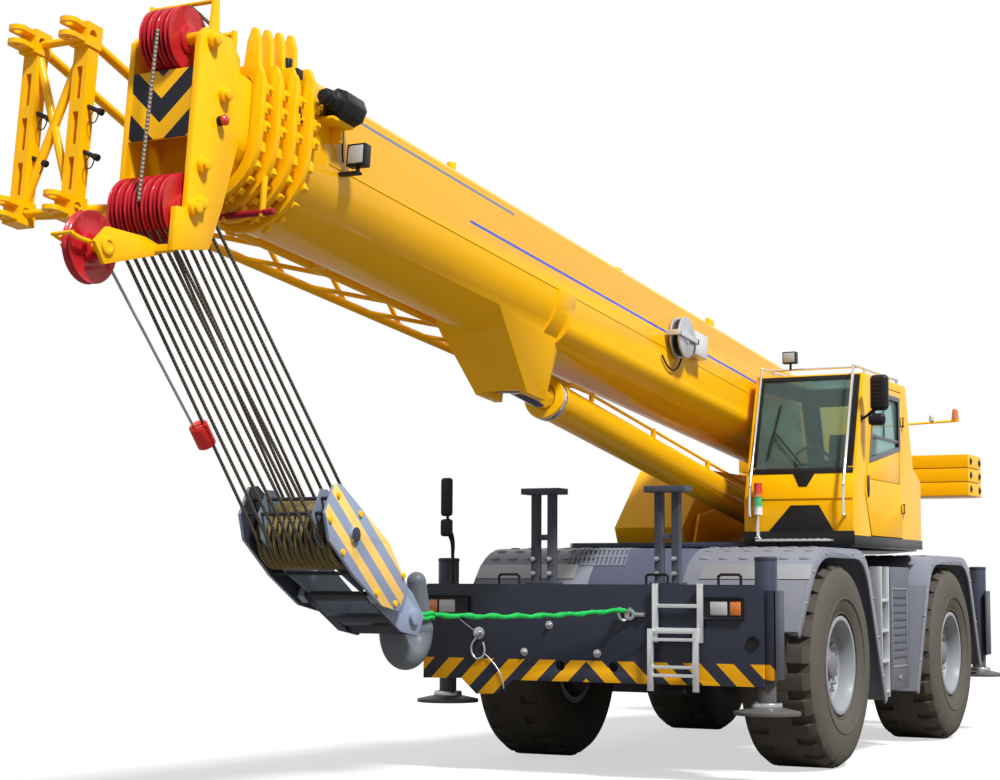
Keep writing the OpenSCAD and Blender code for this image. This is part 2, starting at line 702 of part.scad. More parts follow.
// Lattice jib stowed along the boom's right side
module jib() {
    color([0.95, 0.65, 0.04]) boom_frame() {
        for (y = [-600, -1000]) for (h = [-100, 430]) {
            bar([4600, y, h], [11000, y, h], 34);
            cross_bar(11000, h, y - 41, y + 41, 52);
            bar([11000, y, h], [12100, y, h < 0 ? -420 : 680], 32);
        }
        for (i = [0:6]) let (s = 4700 + 880 * i) {
            for (h = [-100, 430]) bar([s, -600, h], [s + 700, -1000, h], 18);
            for (y = [-600, -1000]) bar([s + 90, y, -100], [s + 790, y, 430], 20);
        }
        for (y = [-600, -1000]) difference() {
            box(12060, 12160, y - 55, y + 55, -420, 680);
            for (h = [-310, -20, 270]) box(12000, 12200, y - 22, y + 22, h, h + 210);
        }
        for (h = [-420, 680]) bar([12110, -1000, h], [12110, -600, h], 26);
        bar([12110, -1000, -420], [12110, -600, 680], 30);
        bar([12110, -1000, 680], [12110, -600, -420], 27);
        for (y = [-600, -1000]) for (h = [-420, 680]) jib_lug(y, h);
        for (s = [5440, 9400]) box(s, s + 80, -600, -boom_hw, -130, -70);
    }
}

// Electric cable reel and junction box on the boom's left side
module cable_reel() {
    color([0.6, 0.62, 0.65]) boom_frame() {
        translate([4900, 0, 280]) rotate([-90, 0, 0]) {
            translate([0, 0, boom_hw]) cylinder(h = 140, r = 60);
            translate([0, 0, boom_hw + 30]) cylinder(h = 20, r = 190);
            translate([0, 0, boom_hw + 110]) cylinder(h = 20, r = 190);
        }
        box(4350, 4650, boom_hw, boom_hw + 120, 180, 400);
    }
}

// Rope falls from the head's lower sheaves to the hook block
module rope_falls() {
    color([0.16, 0.14, 0.12]) fall_frame() for (i = [-3:3]) for (x = [-1, 1])
        bar(fall_end(x, i, 0), fall_end(x, i, 1), rope_r);
}

// Hook block with its cheek plates, sheaves and crosshead frame
module hook_block() {
    color([0.3, 0.32, 0.36]) block_frame() {
        both() side_plate(315, 340) polygon([[-150, 370], [60, 370], [180, 240], [225, -150], [215, -560],
            [120, -820], [-60, -820], [-195, -420], [-205, 300]]);
        cross_bar(0, 0, -365, 365, 50);
        for (i = [-3:3]) cross_bar(0, 0, i * block_pitch - 28, i * block_pitch + 28, block_r);
        both() side_plate(230, 320) polygon([[-150, -480], [190, -480], [200, -560], [-160, -560]]);
        both() side_plate(230, 255) polygon([[-150, -480], [190, -480], [170, -1000], [80, -1230],
            [-80, -1230], [-140, -1000]]);
        box(-110, 110, -235, 235, -1150, -1030);
        for (z = [-560, -860]) box(150, 180, -235, 235, z, z + 80);
        cross_bar(0, -1090, -285, 285, 60);
    }
}

// Forged single hook under the block: neck, half round bowl and tapered tip
module load_hook() {
    neck = [hook_x + hook_ring * cos(60), 0, hook_z + hook_ring * sin(60)];
    turn = [hook_x + hook_ring * cos(240), 0, hook_z + hook_ring * sin(240)];
    tip_r = 70;
    color([0.45, 0.47, 0.5]) block_frame() {
        translate(neck) cylinder(h = -1150 - neck[2], r = 75);
        translate([hook_x, 0, hook_z]) rotate([90, 0, 0]) rotate([0, 0, 240]) rotate_extrude(angle = 180)
            translate([hook_ring, 0]) circle(r = hook_r);
        translate(neck) sphere(r = hook_r + 3);
        translate(turn) sphere(r = hook_r + 3);
        translate(turn) rotate([0, -52, 0]) {
            cylinder(h = hook_tip, r1 = hook_r, r2 = tip_r);
            translate([0, 0, hook_tip]) sphere(r = tip_r + 1);
        }
    }
}

// Sling that holds the hook's tip back to the bumper
module sling() {
    a = on_block(hook_x, hook_z) + [0, 0, 100];
    b = [bumper_x, 368, 1440];
    d = unit(b - a);
    color([0.1, 0.6, 0.25]) bar(a + sling_start * d, b - 4 * d, 18);
}

// Red overhoist weight round the outer front fall, on its chain from the nose sheave
module limit_weight() {
    p = fall_end(1, -3, 0);
    q = fall_end(1, -3, 1);
    aside = [20, -28, 0];
    color([0.75, 0.06, 0.07]) fall_frame() {
        difference() {
            bar(p + (q - p) * 0.56 + aside, p + (q - p) * 0.62 + aside, 62);
            bar(p + (q - p) * 0.5, p + (q - p) * 0.7, rope_r + 2);
        }
        bar([585, 0, -22], p + (q - p) * 0.57 + 1.8 * aside, 9);
    }
}

// Luffing cylinder's barrel
module luff_barrel() {
    color([0.93, 0.62, 0.03]) cylinder_frame() difference() {
        union() {
            rotate([0, 90, 0]) translate([0, 0, 60]) cylinder(h = 6040, r = barrel_r);
            cross_bar(0, 0, -140, 140, 160);
            rotate([0, 90, 0]) translate([0, 0, 5950]) cylinder(h = 160, r = barrel_r + 13);
        }
        cross_bar(0, 0, -200, 200, 70 + gap);
        rotate([0, 90, 0]) translate([0, 0, 400]) cylinder(h = 6000, r = rod_r + gap);
    }
}

// Luffing cylinder's rod with its eye
module luff_rod() {
    color([0.8, 0.82, 0.84]) cylinder_frame() {
        rotate([0, 90, 0]) translate([0, 0, 1000]) cylinder(h = cyl_len - 1060, r = rod_r);
        cross_bar(cyl_len, 0, -160 + gap, 160 - gap, 110);
    }
}

carrier_frame();
bumper();
deck_covers();
engine();
fenders();
side_lockers();
ladders();
boom_rests();
carrier_lamps();
carrier_mirror();
front_axle();
rear_axle();
knuckle_front_left();
knuckle_front_right();
knuckle_rear_left();
knuckle_rear_right();
tyre_front_left();
tyre_front_right();
tyre_rear_left();
tyre_rear_right();
rim_front_left();
rim_front_right();
rim_rear_left();
rim_rear_right();
beam_front_left();
beam_front_right();
beam_rear_left();
beam_rear_right();
jack_front_left();
jack_front_right();
jack_rear_left();
jack_rear_right();
turntable();
counterweight();
winches();
cab_shell();
cab_glass();
cab_interior();
cab_rails();
cab_mirror();
cab_door();
door_glass();
side_housing();
signal_lamps();
boom_base();
boom_section_2();
boom_section_3();
boom_section_4();
boom_section_5();
head_sheaves();
jib();
cable_reel();
rope_falls();
hook_block();
load_hook();
sling();
limit_weight();
luff_barrel();
luff_rod();
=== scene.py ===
import json
import math

import bpy
from mathutils import Matrix, Vector

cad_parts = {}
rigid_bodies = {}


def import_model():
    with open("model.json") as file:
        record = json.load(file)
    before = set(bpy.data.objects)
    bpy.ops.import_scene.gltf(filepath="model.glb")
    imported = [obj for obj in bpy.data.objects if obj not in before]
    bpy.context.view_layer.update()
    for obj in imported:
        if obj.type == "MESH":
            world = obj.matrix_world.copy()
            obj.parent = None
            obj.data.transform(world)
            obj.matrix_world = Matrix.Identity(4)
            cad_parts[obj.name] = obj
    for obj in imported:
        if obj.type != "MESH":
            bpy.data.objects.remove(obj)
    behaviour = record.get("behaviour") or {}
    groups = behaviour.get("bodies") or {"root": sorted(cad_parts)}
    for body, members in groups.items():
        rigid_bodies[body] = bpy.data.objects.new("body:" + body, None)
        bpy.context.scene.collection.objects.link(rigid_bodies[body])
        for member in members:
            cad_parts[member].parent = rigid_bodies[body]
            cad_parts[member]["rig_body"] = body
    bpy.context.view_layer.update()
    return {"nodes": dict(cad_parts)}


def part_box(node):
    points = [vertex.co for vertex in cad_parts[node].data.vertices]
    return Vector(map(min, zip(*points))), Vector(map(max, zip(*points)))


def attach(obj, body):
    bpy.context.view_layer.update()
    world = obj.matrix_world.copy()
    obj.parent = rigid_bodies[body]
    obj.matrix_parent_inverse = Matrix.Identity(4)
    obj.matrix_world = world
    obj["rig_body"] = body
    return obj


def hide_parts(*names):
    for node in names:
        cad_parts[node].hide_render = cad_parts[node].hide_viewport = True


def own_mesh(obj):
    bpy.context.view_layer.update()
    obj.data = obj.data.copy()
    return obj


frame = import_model()

# Studio
# A pale floor that fades into a white background, a soft sun from the crane's left
# front and even light from all round. The camera stands where the photograph was taken.
scene = bpy.context.scene
scene.view_settings.view_transform = "Standard"


def put(net, kind, sockets, **settings):
    """A shader node with its settings. Each socket takes a value or another node's output."""
    step = net.nodes.new("ShaderNode" + kind)
    for name, value in settings.items():
        setattr(step, name, value)
    for slot, value in sockets.items():
        if isinstance(value, bpy.types.NodeSocket):
            net.links.new(value, step.inputs[slot])
        else:
            step.inputs[slot].default_value = value
    return step


def reckon(net, kind, *terms):
    """One step of arithmetic on numbers and sockets."""
    return put(net, "Math", dict(enumerate(terms)), operation=kind).outputs[0]


def mixed(net, share, under, over):
    """One colour laid over another, by a share from 0 to 1."""
    return put(net, "Mix", {"Factor": share, "A": under, "B": over}, data_type="RGBA").outputs["Result"]


def looking(net, *kinds):
    """1 for the kinds of ray that should meet the plain pale studio."""
    rays = put(net, "LightPath", {})
    total = rays.outputs["Is Camera Ray"]
    for kind in kinds:
        total = reckon(net, "MAXIMUM", total, rays.outputs["Is %s Ray" % kind])
    return total


world = bpy.data.worlds.new("studio_world")
world.use_nodes = True
scene.world = world
net = world.node_tree
net.nodes.clear()
white_sky = put(net, "Background", {"Color": (1, 1, 1, 1)})
even_light = put(net, "Background", {"Color": (0.93, 0.96, 1, 1), "Strength": 0.40})
pick = put(net, "MixShader", {"Fac": looking(net, "Glossy", "Transmission"), 1: even_light.outputs[0],
                              2: white_sky.outputs[0]})
put(net, "OutputWorld", {"Surface": pick.outputs[0]})

bpy.ops.object.select_all(action="DESELECT")
bpy.ops.object.light_add(type="SUN", location=(6, 14, 16))
sun = bpy.context.object
sun.name = "soft_sun"
sun.data.energy = 5.0
sun.data.angle = math.radians(9)
sunbeam = Vector((-0.28, -0.55, -0.79))
sun.rotation_euler = sunbeam.to_track_quat("-Z", "Y").to_euler()

bpy.ops.object.select_all(action="DESELECT")
bpy.ops.mesh.primitive_plane_add(size=160)
floor = bpy.context.object
floor.name = "studio_floor"
floor_paint = bpy.data.materials.new("floor_pale")
floor_paint.use_nodes = True
net = floor_paint.node_tree
net.nodes.clear()
fade_start, fade_end = 9, 34
seen = looking(net, "Transmission")
tone = mixed(net, seen, (0.26, 0.245, 0.23, 1), (0.84, 0.84, 0.84, 1))
matt = put(net, "BsdfDiffuse", {"Color": tone})
place = put(net, "TexCoord", {}).outputs["Object"]
distance = put(net, "VectorMath", {0: place}, operation="LENGTH").outputs["Value"]
fade = put(net, "MapRange", {"Value": distance, "From Min": fade_start, "From Max": fade_end, "To Min": 0.6})
glow = put(net, "Emission", {})
share = put(net, "MixShader", {"Fac": reckon(net, "MULTIPLY", seen, fade.outputs[0]), 1: matt.outputs[0],
                               2: glow.outputs[0]})
put(net, "OutputMaterial", {"Surface": share.outputs[0]})
floor.data.materials.append(floor_paint)

yaw, pitch, roll = math.radians(27.127), math.radians(5.787), math.radians(0.29)
ahead = Vector((-math.cos(yaw) * math.cos(pitch), -math.sin(yaw) * math.cos(pitch), math.sin(pitch)))
level = Vector((-math.sin(yaw), math.cos(yaw), 0))
upward = level.cross(ahead)
across = level * math.cos(roll) + upward * math.sin(roll)
upright = upward * math.cos(roll) - level * math.sin(roll)
focal_pixels, photo_width, film_width = 1939.87, 1000, 36
bpy.ops.object.camera_add(location=(19.361, 7.031, 1.632))
camera = bpy.context.object
camera.name = "photo_camera"
camera.rotation_euler = Matrix((across, upright, -ahead)).transposed().to_euler()
camera.data.sensor_width = film_width
camera.data.lens = focal_pixels / photo_width * film_width
camera.data.clip_end = 400
scene.camera = camera

# Carrier frame
# Two deep box girders welded from heavy plate, with the outrigger boxes across both ends
# and the seat of the slewing ring. Sprayed dark slate, dusty low down.
slate = (0.038, 0.046, 0.080)
road_dust = (0.16, 0.13, 0.10)
dust_top, dust_bottom = 2.0, 0.3


def paint(name, colour, rough=0.4, metal=0.0, grain=9.0, shift=0.12, coat=0.0, bump=0.12, dust=0.0,
          shine=0.2):
    """A sprayed or bare finish: its colour and gloss drift a little, and dust gathers low down."""
    mat = bpy.data.materials.new(name)
    mat.use_nodes = True
    net = mat.node_tree
    place = put(net, "TexCoord", {}).outputs["Object"]
    broad = put(net, "TexNoise", {"Vector": place, "Scale": grain * 0.14, "Detail": 5}).outputs["Fac"]
    fine = put(net, "TexNoise", {"Vector": place, "Scale": grain * 11, "Detail": 3}).outputs["Fac"]
    darker, lighter = ([min(1, c * k) for c in colour] + [1] for k in (1 - shift, 1 + shift))
    shade = mixed(net, broad, darker, lighter)
    if dust:
        height = put(net, "SeparateXYZ", {0: place}).outputs["Z"]
        low = put(net, "MapRange", {"Value": height, "From Min": dust_top, "From Max": dust_bottom,
                                    "To Max": dust})
        shade = mixed(net, reckon(net, "MULTIPLY", low.outputs[0], fine), shade, (*road_dust, 1))
    gloss = put(net, "MapRange", {"Value": broad, "To Min": max(0.02, rough - 0.09),
                                  "To Max": min(1, rough + 0.09)})
    peel = put(net, "Bump", {"Strength": bump, "Distance": 0.002, "Height": fine})
    sockets = net.nodes["Principled BSDF"].inputs
    sockets["Metallic"].default_value = metal
    sockets["Specular IOR Level"].default_value = shine
    sockets["Coat Weight"].default_value = coat
    sockets["Coat Roughness"].default_value = 0.07
    net.links.new(shade, sockets["Base Color"])
    net.links.new(gloss.outputs[0], sockets["Roughness"])
    net.links.new(peel.outputs[0], sockets["Normal"])
    return mat


def take(piece):
    """Put down everything else and take up one piece."""
    bpy.ops.object.select_all(action="DESELECT")
    piece.select_set(True)
    bpy.context.view_layer.objects.active = piece


def edit_all(piece):
    """Open a piece in edit mode with all of it selected."""
    take(piece)
    bpy.ops.object.mode_set(mode="EDIT")
    bpy.ops.mesh.select_all(action="SELECT")


def ease_edges(piece, width, steps, angle):
    """Bevel a piece's sharp edges and shade the rest smooth."""
    take(piece)
    if width:
        ease = piece.modifiers.new("ease", "BEVEL")
        ease.width = width
        ease.segments = steps
        ease.limit_method = "ANGLE"
        ease.angle_limit = math.radians(angle)
        bpy.ops.object.modifier_apply(modifier="ease")
    bpy.ops.object.shade_smooth_by_angle(angle=math.radians(angle))


def gathered(pieces):
    """Several pieces joined into one object."""
    bpy.ops.object.select_all(action="DESELECT")
    for piece in pieces:
        piece.select_set(True)
    bpy.context.view_layer.objects.active = pieces[0]
    bpy.ops.object.join()
    return bpy.context.object


def eased(node, mat, width=0.006, steps=2, angle=32):
    """A piece in the node's own form with its sharp edges eased, which stands for the node."""
    piece = bpy.data.objects.new(node + "_eased", frame["nodes"][node].data.copy())
    scene.collection.objects.link(piece)
    piece.data.materials.clear()
    piece.data.materials.append(mat)
    edit_all(piece)
    bpy.ops.mesh.customdata_custom_splitnormals_clear()
    bpy.ops.mesh.remove_doubles(threshold=0.0002)
    bpy.ops.mesh.dissolve_limited(angle_limit=math.radians(0.6))
    bpy.ops.mesh.separate(type="LOOSE")
    bpy.ops.object.mode_set(mode="OBJECT")
    solids = list(bpy.context.selected_objects)
    for solid in solids:
        ease_edges(solid, width, steps, angle)
    piece = gathered(solids)
    piece.name = node + "_eased"
    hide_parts(node)
    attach(piece, frame["nodes"][node]["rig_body"])
    return piece


slate_paint = paint("slate_paint", slate, 0.36, dust=0.6)
slate_dark = paint("slate_dark", (0.022, 0.025, 0.037), 0.5, dust=0.5)
eased("carrier_frame", slate_dark)

# Bumper
# A thick front plate folded over the outrigger box, with slanted hazard bands along its
# lower edge, three domed bolts, a snap hook on a wire and black grab handles on top.
hazard_yellow = (0.77, 0.37, 0.004)
hazard_pitch = 0.3
bumper_face = 3.98
bumper_top = 1.657
middle = (0, 0, 0)
to_front, to_left, to_top = (1, 0, 0), (0, 1, 0), (0, 0, 1)
at = Matrix.Translation


def within(net, value, low, high):
    """1 where a number lies between two limits."""
    return reckon(net, "COMPARE", value, (low + high) / 2, (high - low) / 2)


def axes(net, origin=middle, tilt=0.0):
    """Object coordinates read from a point, along and square to a tilted line."""
    place = put(net, "TexCoord", {}).outputs["Object"]
    turn = put(net, "Mapping", {"Vector": place, "Location": origin, "Rotation": (0, math.radians(tilt), 0)},
               vector_type="TEXTURE")
    return tuple(put(net, "SeparateXYZ", {0: turn.outputs[0]}).outputs)


def lay_over(mat, colour, *masks):
    """Lay a second colour over a finish where every mask is 1."""
    net = mat.node_tree
    base = net.nodes["Principled BSDF"].inputs["Base Color"]
    mask = masks[0]
    for other in masks[1:]:
        mask = reckon(net, "MULTIPLY", mask, other)
    net.links.new(mixed(net, mask, base.links[0].from_socket, (*colour, 1)), base)


bumper_paint = paint("bumper_paint", (0.019, 0.024, 0.042), 0.34, dust=0.2)
net = bumper_paint.node_tree
x, y, z = axes(net)
slant = reckon(net, "DIVIDE", reckon(net, "ADD", reckon(net, "ABSOLUTE", y), z), hazard_pitch)
hazard_band = within(net, reckon(net, "FRACT", slant), 0.307, 0.827)
lay_over(bumper_paint, hazard_yellow, hazard_band, within(net, z, 0.5, 1.0), within(net, x, 3.93, 4.1))
eased("bumper", bumper_paint, 0.004)


def slab(low, high):
    """A block or bar between two corners."""
    bpy.ops.object.select_all(action="DESELECT")
    low, high = Vector(low), Vector(high)
    bpy.ops.mesh.primitive_cube_add(size=1, location=(low + high) / 2)
    piece = bpy.context.object
    piece.scale = high - low
    bpy.ops.object.transform_apply(location=True, rotation=True, scale=True)
    return piece


def rod(start, end, radius, sides=16):
    """A straight round bar between two points."""
    bpy.ops.object.select_all(action="DESELECT")
    start, end = Vector(start), Vector(end)
    along = end - start
    bpy.ops.mesh.primitive_cylinder_add(vertices=sides, radius=radius, depth=along.length,
                                        location=(start + end) / 2,
                                        rotation=along.to_track_quat("Z", "Y").to_euler())
    bpy.ops.object.transform_apply(location=True, rotation=True, scale=True)
    return bpy.context.object


def new_mesh(points, edges, faces):
    """An object from a few points, ready for the edit tools."""
    mesh = bpy.data.meshes.new("blank")
    mesh.from_pydata([tuple(p) for p in points], edges, faces)
    piece = bpy.data.objects.new("blank", mesh)
    scene.collection.objects.link(piece)
    return piece


def turned(profile, start, along, steps=32, ring=False):
    """A turned piece: a half section of (reach, radius) points spun round a line."""
    last = len(profile)
    edges = [(i, (i + 1) % last) for i in range(last if ring else last - 1)]
    piece = new_mesh([(radius, 0, reach) for reach, radius in profile], edges, [])
    edit_all(piece)
    bpy.ops.mesh.spin(steps=steps, angle=2 * math.pi, center=middle, axis=to_top)
    bpy.ops.mesh.select_all(action="SELECT")
    bpy.ops.mesh.remove_doubles(threshold=0.00005)
    bpy.ops.mesh.normals_make_consistent(inside=False)
    bpy.ops.object.mode_set(mode="OBJECT")
    piece.data.transform(at(start) @ Vector(along).to_track_quat("Z", "Y").to_matrix().to_4x4())
    return piece


def cut_plate(outline, push):
    """A flat plate cut to an outline and extruded to its thickness."""
    piece = new_mesh(outline, [], [tuple(range(len(outline)))])
    edit_all(piece)
    bpy.ops.mesh.extrude_region_move(TRANSFORM_OT_translate={"value": tuple(push)})
    bpy.ops.mesh.select_all(action="SELECT")
    bpy.ops.mesh.normals_make_consistent(inside=False)
    bpy.ops.object.mode_set(mode="OBJECT")
    return piece


def piped(points, radius, round_off=True, sizes=None, closed=False):
    """A bent tube, hose or wire along a line of points."""
    line = bpy.data.curves.new("line", "CURVE")
    line.dimensions = "3D"
    line.bevel_depth = radius
    line.bevel_resolution = 3
    line.use_fill_caps = True
    run = line.splines.new("NURBS" if round_off else "POLY")
    run.points.add(len(points) - 1)
    for i, point in enumerate(points):
        run.points[i].co = (*point, 1)
        if sizes:
            run.points[i].radius = sizes[i]
    if round_off:
        run.order_u = min(4, len(points))
        run.use_endpoint_u = True
        run.resolution_u = 6
    run.use_cyclic_u = closed
    piece = bpy.data.objects.new("line", line)
    scene.collection.objects.link(piece)
    take(piece)
    bpy.ops.object.convert(target="MESH")
    return bpy.context.object


def copied(piece, places):
    """One piece set in many places, each with a mesh of its own, and gathered."""
    row = []
    for place in places:
        twin = piece.copy()
        twin.data = piece.data.copy()
        twin.data.transform(place)
        scene.collection.objects.link(twin)
        row.append(twin)
    bpy.data.objects.remove(piece)
    return gathered(row)


def fitted(piece, name, mat, body, ease=0.003, angle=35, place=None):
    """Name, paint and ease a finished piece, or a list of its parts, and hang it on its body."""
    if isinstance(piece, list):
        piece = gathered(piece)
    if place is not None:
        piece.data.transform(place)
    piece.name = name
    piece.data.name = name
    piece.data.materials.clear()
    piece.data.materials.append(mat)
    ease_edges(piece, ease, 2, angle)
    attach(piece, body)
    return piece


bare_steel = paint("bare_steel", (0.42, 0.43, 0.45), 0.3, metal=0.9, grain=22, shift=0.2)
black_shell = paint("black_shell", (0.012, 0.012, 0.014), 0.35, bump=0.2)
bolt_dome = [(-0.002, 0), (-0.002, 0.036), (0.006, 0.036), (0.009, 0.024), (0.022, 0.021), (0.03, 0.012),
             (0.032, 0)]
bolt_spots = [at((0, v, w)) for v, w in ((-0.353, 1.301), (-0.595, 1.063), (0.106, 1.063))]
bolt = turned(bolt_dome, (bumper_face, 0, 0), to_front, 20)
fitted(copied(bolt, bolt_spots), "bumper_bolts", bare_steel, "carrier", 0)


def on_face(*spots):
    """Points that hang just in front of the bumper's face."""
    return [(bumper_face + 0.014, v, w) for v, w in spots]


snap_hook = on_face((-1.06, 1.18), (-1.13, 1.12), (-1.11, 1.00), (-1.02, 0.98), (-0.96, 1.05), (-1.0, 1.14))
upper_wire = on_face((-1.25, 1.36), (-1.17, 1.29), (-1.06, 1.23))
lower_wire = on_face((-0.98, 1.04), (-0.85, 0.93), (-0.8, 0.86), (-0.79, 0.74))
boss = turned([(-0.002, 0), (-0.002, 0.055), (0.012, 0.055), (0.02, 0.03), (0.05, 0.026), (0.055, 0)],
              (bumper_face, -1.042, 1.221), to_front, 24)
fitted([boss, piped(snap_hook, 0.011), piped(upper_wire, 0.005), piped(lower_wire, 0.005)],
       "snap_hook", bare_steel, "carrier", 0)
shackle_bow = [(4.03, 0.34, 1.46), (4.045, 0.33, 1.40), (4.03, 0.34, 1.34), (3.985, 0.40, 1.34),
               (3.985, 0.42, 1.46)]
shackle_pin = rod((3.99, 0.46, 1.40), (4.0, 0.56, 1.40), 0.022)
shackle_eye = turned([(0, 0.02), (0, 0.05), (0.03, 0.05), (0.03, 0.02)], (bumper_face, 0.42, 1.40), to_front,
                     20, True)
fitted([piped(shackle_bow, 0.014), shackle_pin, shackle_eye], "sling_shackle", bare_steel, "carrier", 0.002)
grip_bend = ((0, -0.004), (0, 0.07), (0.02, 0.085), (0.18, 0.085), (0.2, 0.07), (0.2, -0.004))
grips = [piped([(3.88, start + v, bumper_top + w) for v, w in grip_bend], 0.013, False)
         for start in (0.52, 1.18, -0.9)]
fitted(grips, "bumper_grips", black_shell, "carrier", 0)
cup = [(0.002, 0), (0.002, 0.04), (0.012, 0.044), (0.012, 0.056), (-0.002, 0.056)]
fitted(turned(cup, (bumper_face, 1.52, 1.18), to_front, 24), "tow_cup", black_shell, "carrier", 0)

# Deck and hood
# Bent steel covers over the front frame and the engine, sprayed dark blue-grey. The front
# edge is rolled over, and a pierced tread plate is screwed on at the right.
deck_paint = paint("deck_paint", (0.090, 0.102, 0.155), 0.36, coat=0.2, dust=0.2)
eased("deck_covers", deck_paint, 0.012)
eased("engine", slate_dark, 0.02)
over_edge = [(2.40, 1.998), (2.50, 1.998), (2.60, 1.998), (2.672, 1.985), (2.722, 1.921), (2.79, 1.834)]
tread_rows, tread_columns = len(over_edge) - 1, 13
tread_right, tread_width, tread_bar, tread_thick = -0.742, 0.589, 0.011, 0.005
bpy.ops.object.select_all(action="DESELECT")
bpy.ops.mesh.primitive_grid_add(x_subdivisions=tread_rows, y_subdivisions=tread_columns, size=1)
tread = bpy.context.object
for corner in tread.data.vertices:
    u, w = over_edge[round((corner.co.x + 0.5) * tread_rows)]
    corner.co = (u, tread_right + tread_width * (corner.co.y + 0.5), w)
edit_all(tread)
bpy.ops.mesh.inset(thickness=tread_bar, use_individual=True)
bpy.ops.mesh.delete(type="FACE")
bpy.ops.object.mode_set(mode="OBJECT")
wall = tread.modifiers.new("wall", "SOLIDIFY")
wall.thickness = tread_thick
bpy.ops.object.modifier_apply(modifier="wall")
grey_plate = paint("grey_plate", (0.19, 0.21, 0.25), 0.42, dust=0.2)
fitted(tread, "tread_plate", grey_plate, "carrier", 0)

# Fenders
# Rolled steel arches over the wheels with a flange at the outer edge. Their tops are
# pressed with raised ovals for grip, and a grey metal strip crosses the front slope.
fender_paint = paint("fender_paint", (0.20, 0.212, 0.255), 0.4, dust=0.5)
eased("fenders", fender_paint, 0.005)
fender_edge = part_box("fenders")[1].y
strip_grey = paint("strip_grey", (0.30, 0.31, 0.33), 0.4, metal=0.3, grain=20)
strip_low, strip_high = (2.898, 1.706), (2.785, 1.838)
slope_out = Vector((0.76, 0, 0.65))
strips = []
for right, left in ((0.62, 1.655), (-1.655, -0.62)):
    edge = ((strip_low, right), (strip_low, left), (strip_high, left), (strip_high, right))
    strips.append(cut_plate([(u, v, w) for (u, w), v in edge], slope_out * 0.008))
fitted(strips, "fender_strips", strip_grey, "carrier", 0.002)
bend_start, bend_top, bend_end = Vector((2.33, 1.988)), Vector((2.66, 1.988)), Vector((2.864, 1.729))


def shoulder(t, lift):
    """A point over the fenders' rolled front edge, t of the way round, and the slope there."""
    spot = (1 - t) ** 2 * bend_start + 2 * t * (1 - t) * bend_top + t * t * bend_end
    along = ((1 - t) * (bend_top - bend_start) + t * (bend_end - bend_top)).normalized()
    return spot + lift * Vector((-along.y, along.x)), math.atan2(-along.y, along.x)


oval = turned([(-0.004, 0.055), (0.004, 0.05), (0.009, 0.036), (0.01, 0)], middle, to_top, 14)
oval.data.transform(Matrix.Diagonal((0.45, 1, 1, 1)))
oval_pitch = 0.19
oval_spots = []
for side in (1, -1):
    for column in range(6):
        for row in range(9):
            v = side * (0.56 + oval_pitch * column + 0.08 * (row % 2))
            if abs(v) < fender_edge - 0.07:
                oval_spots.append(at((1.3 + 0.13 * row, v, 2.0)))
                oval_spots.append(at((-1.5 - 0.14 * row, v, 1.986)))
        for t in (0.35, 0.62):
            spot, slope = shoulder(t, 0.0125)
            v = side * (0.6 + oval_pitch * column)
            oval_spots.append(at((spot.x, v, spot.y)) @ Matrix.Rotation(slope, 4, "Y"))
fitted(copied(oval, oval_spots), "grip_ovals", fender_paint, "carrier", 0)


def both_sides(reach, spots):
    """Places for (x, z) spots on the left side and, turned about, on the right side."""
    about = Matrix.Rotation(math.pi, 4, "Z")
    return [at((u, reach, w)) for u, w in spots] + [at((u, -reach, w)) @ about for u, w in spots]


hem = [(0.62, 0.78), (0.78, 1.16), (0.95, 1.54), (1.25, 1.93), (1.6, 1.955), (2.0, 1.955), (2.4, 1.945),
       (2.78, 1.78), (3.0, 1.5), (-0.74, 0.9), (-0.92, 1.35), (-1.28, 1.9), (-1.7, 1.93), (-2.1, 1.93),
       (-2.5, 1.93), (-2.95, 1.72), (-3.18, 1.25)]
hem_bolt = turned([(-0.002, 0), (-0.002, 0.016), (0.008, 0.014), (0.012, 0)], middle, to_left, 12)
fitted(copied(hem_bolt, both_sides(1.66, hem)), "hem_bolts", bare_steel, "carrier", 0)

# Lockers and ladders
# A folded steel tool locker with a slotted door on the left, a welded tank on the right,
# and ladders of square alloy tube bolted beside the locker and in front of the bumper.
locker_paint = paint("locker_paint", (0.085, 0.095, 0.125), 0.42, dust=0.5)
alloy = paint("ladder_alloy", (0.62, 0.64, 0.66), 0.35, metal=0.7, grain=20)
eased("side_lockers", locker_paint, 0.008)
eased("ladders", alloy, 0.003)
locker_face = 1.598
frame_bars = ((-0.46, 0.86, -0.44, 1.62), (0.09, 0.86, 0.11, 1.62), (-0.46, 0.84, 0.11, 0.86),
              (-0.46, 1.62, 0.11, 1.64))
trim = [slab((u0, locker_face, w0), (u1, locker_face + 0.01, w1)) for u0, w0, u1, w1 in frame_bars]
trim.append(slab((-0.22, locker_face, 0.72), (-0.1, locker_face + 0.014, 0.76)))
fitted(trim, "locker_trim", fender_paint, "carrier", 0.003)
filler = [(0, 0), (0, 0.085), (0.03, 0.085), (0.045, 0.075), (0.05, 0)]
fitted(turned(filler, (-0.1, -1.25, 1.80), to_top, 28), "tank_cap", black_shell, "carrier", 0.004)

# Boom rests
# Two posts of square tube on each side with a wide plate on top, pinned to the outrigger
# box. They stand up under the lowered boom.
rest_paint = paint("rest_paint", (0.058, 0.064, 0.085), 0.4, dust=0.2)
eased("boom_rests", rest_paint, 0.004)
rest_pins = [rod((3.615, v, w), (3.65, v, w), 0.022, 12) for v in (-0.68, -0.52, 0.52, 0.68)
             for w in (1.75, 1.88)]
fitted(rest_pins, "rest_pins", bare_steel, "carrier", 0.003)

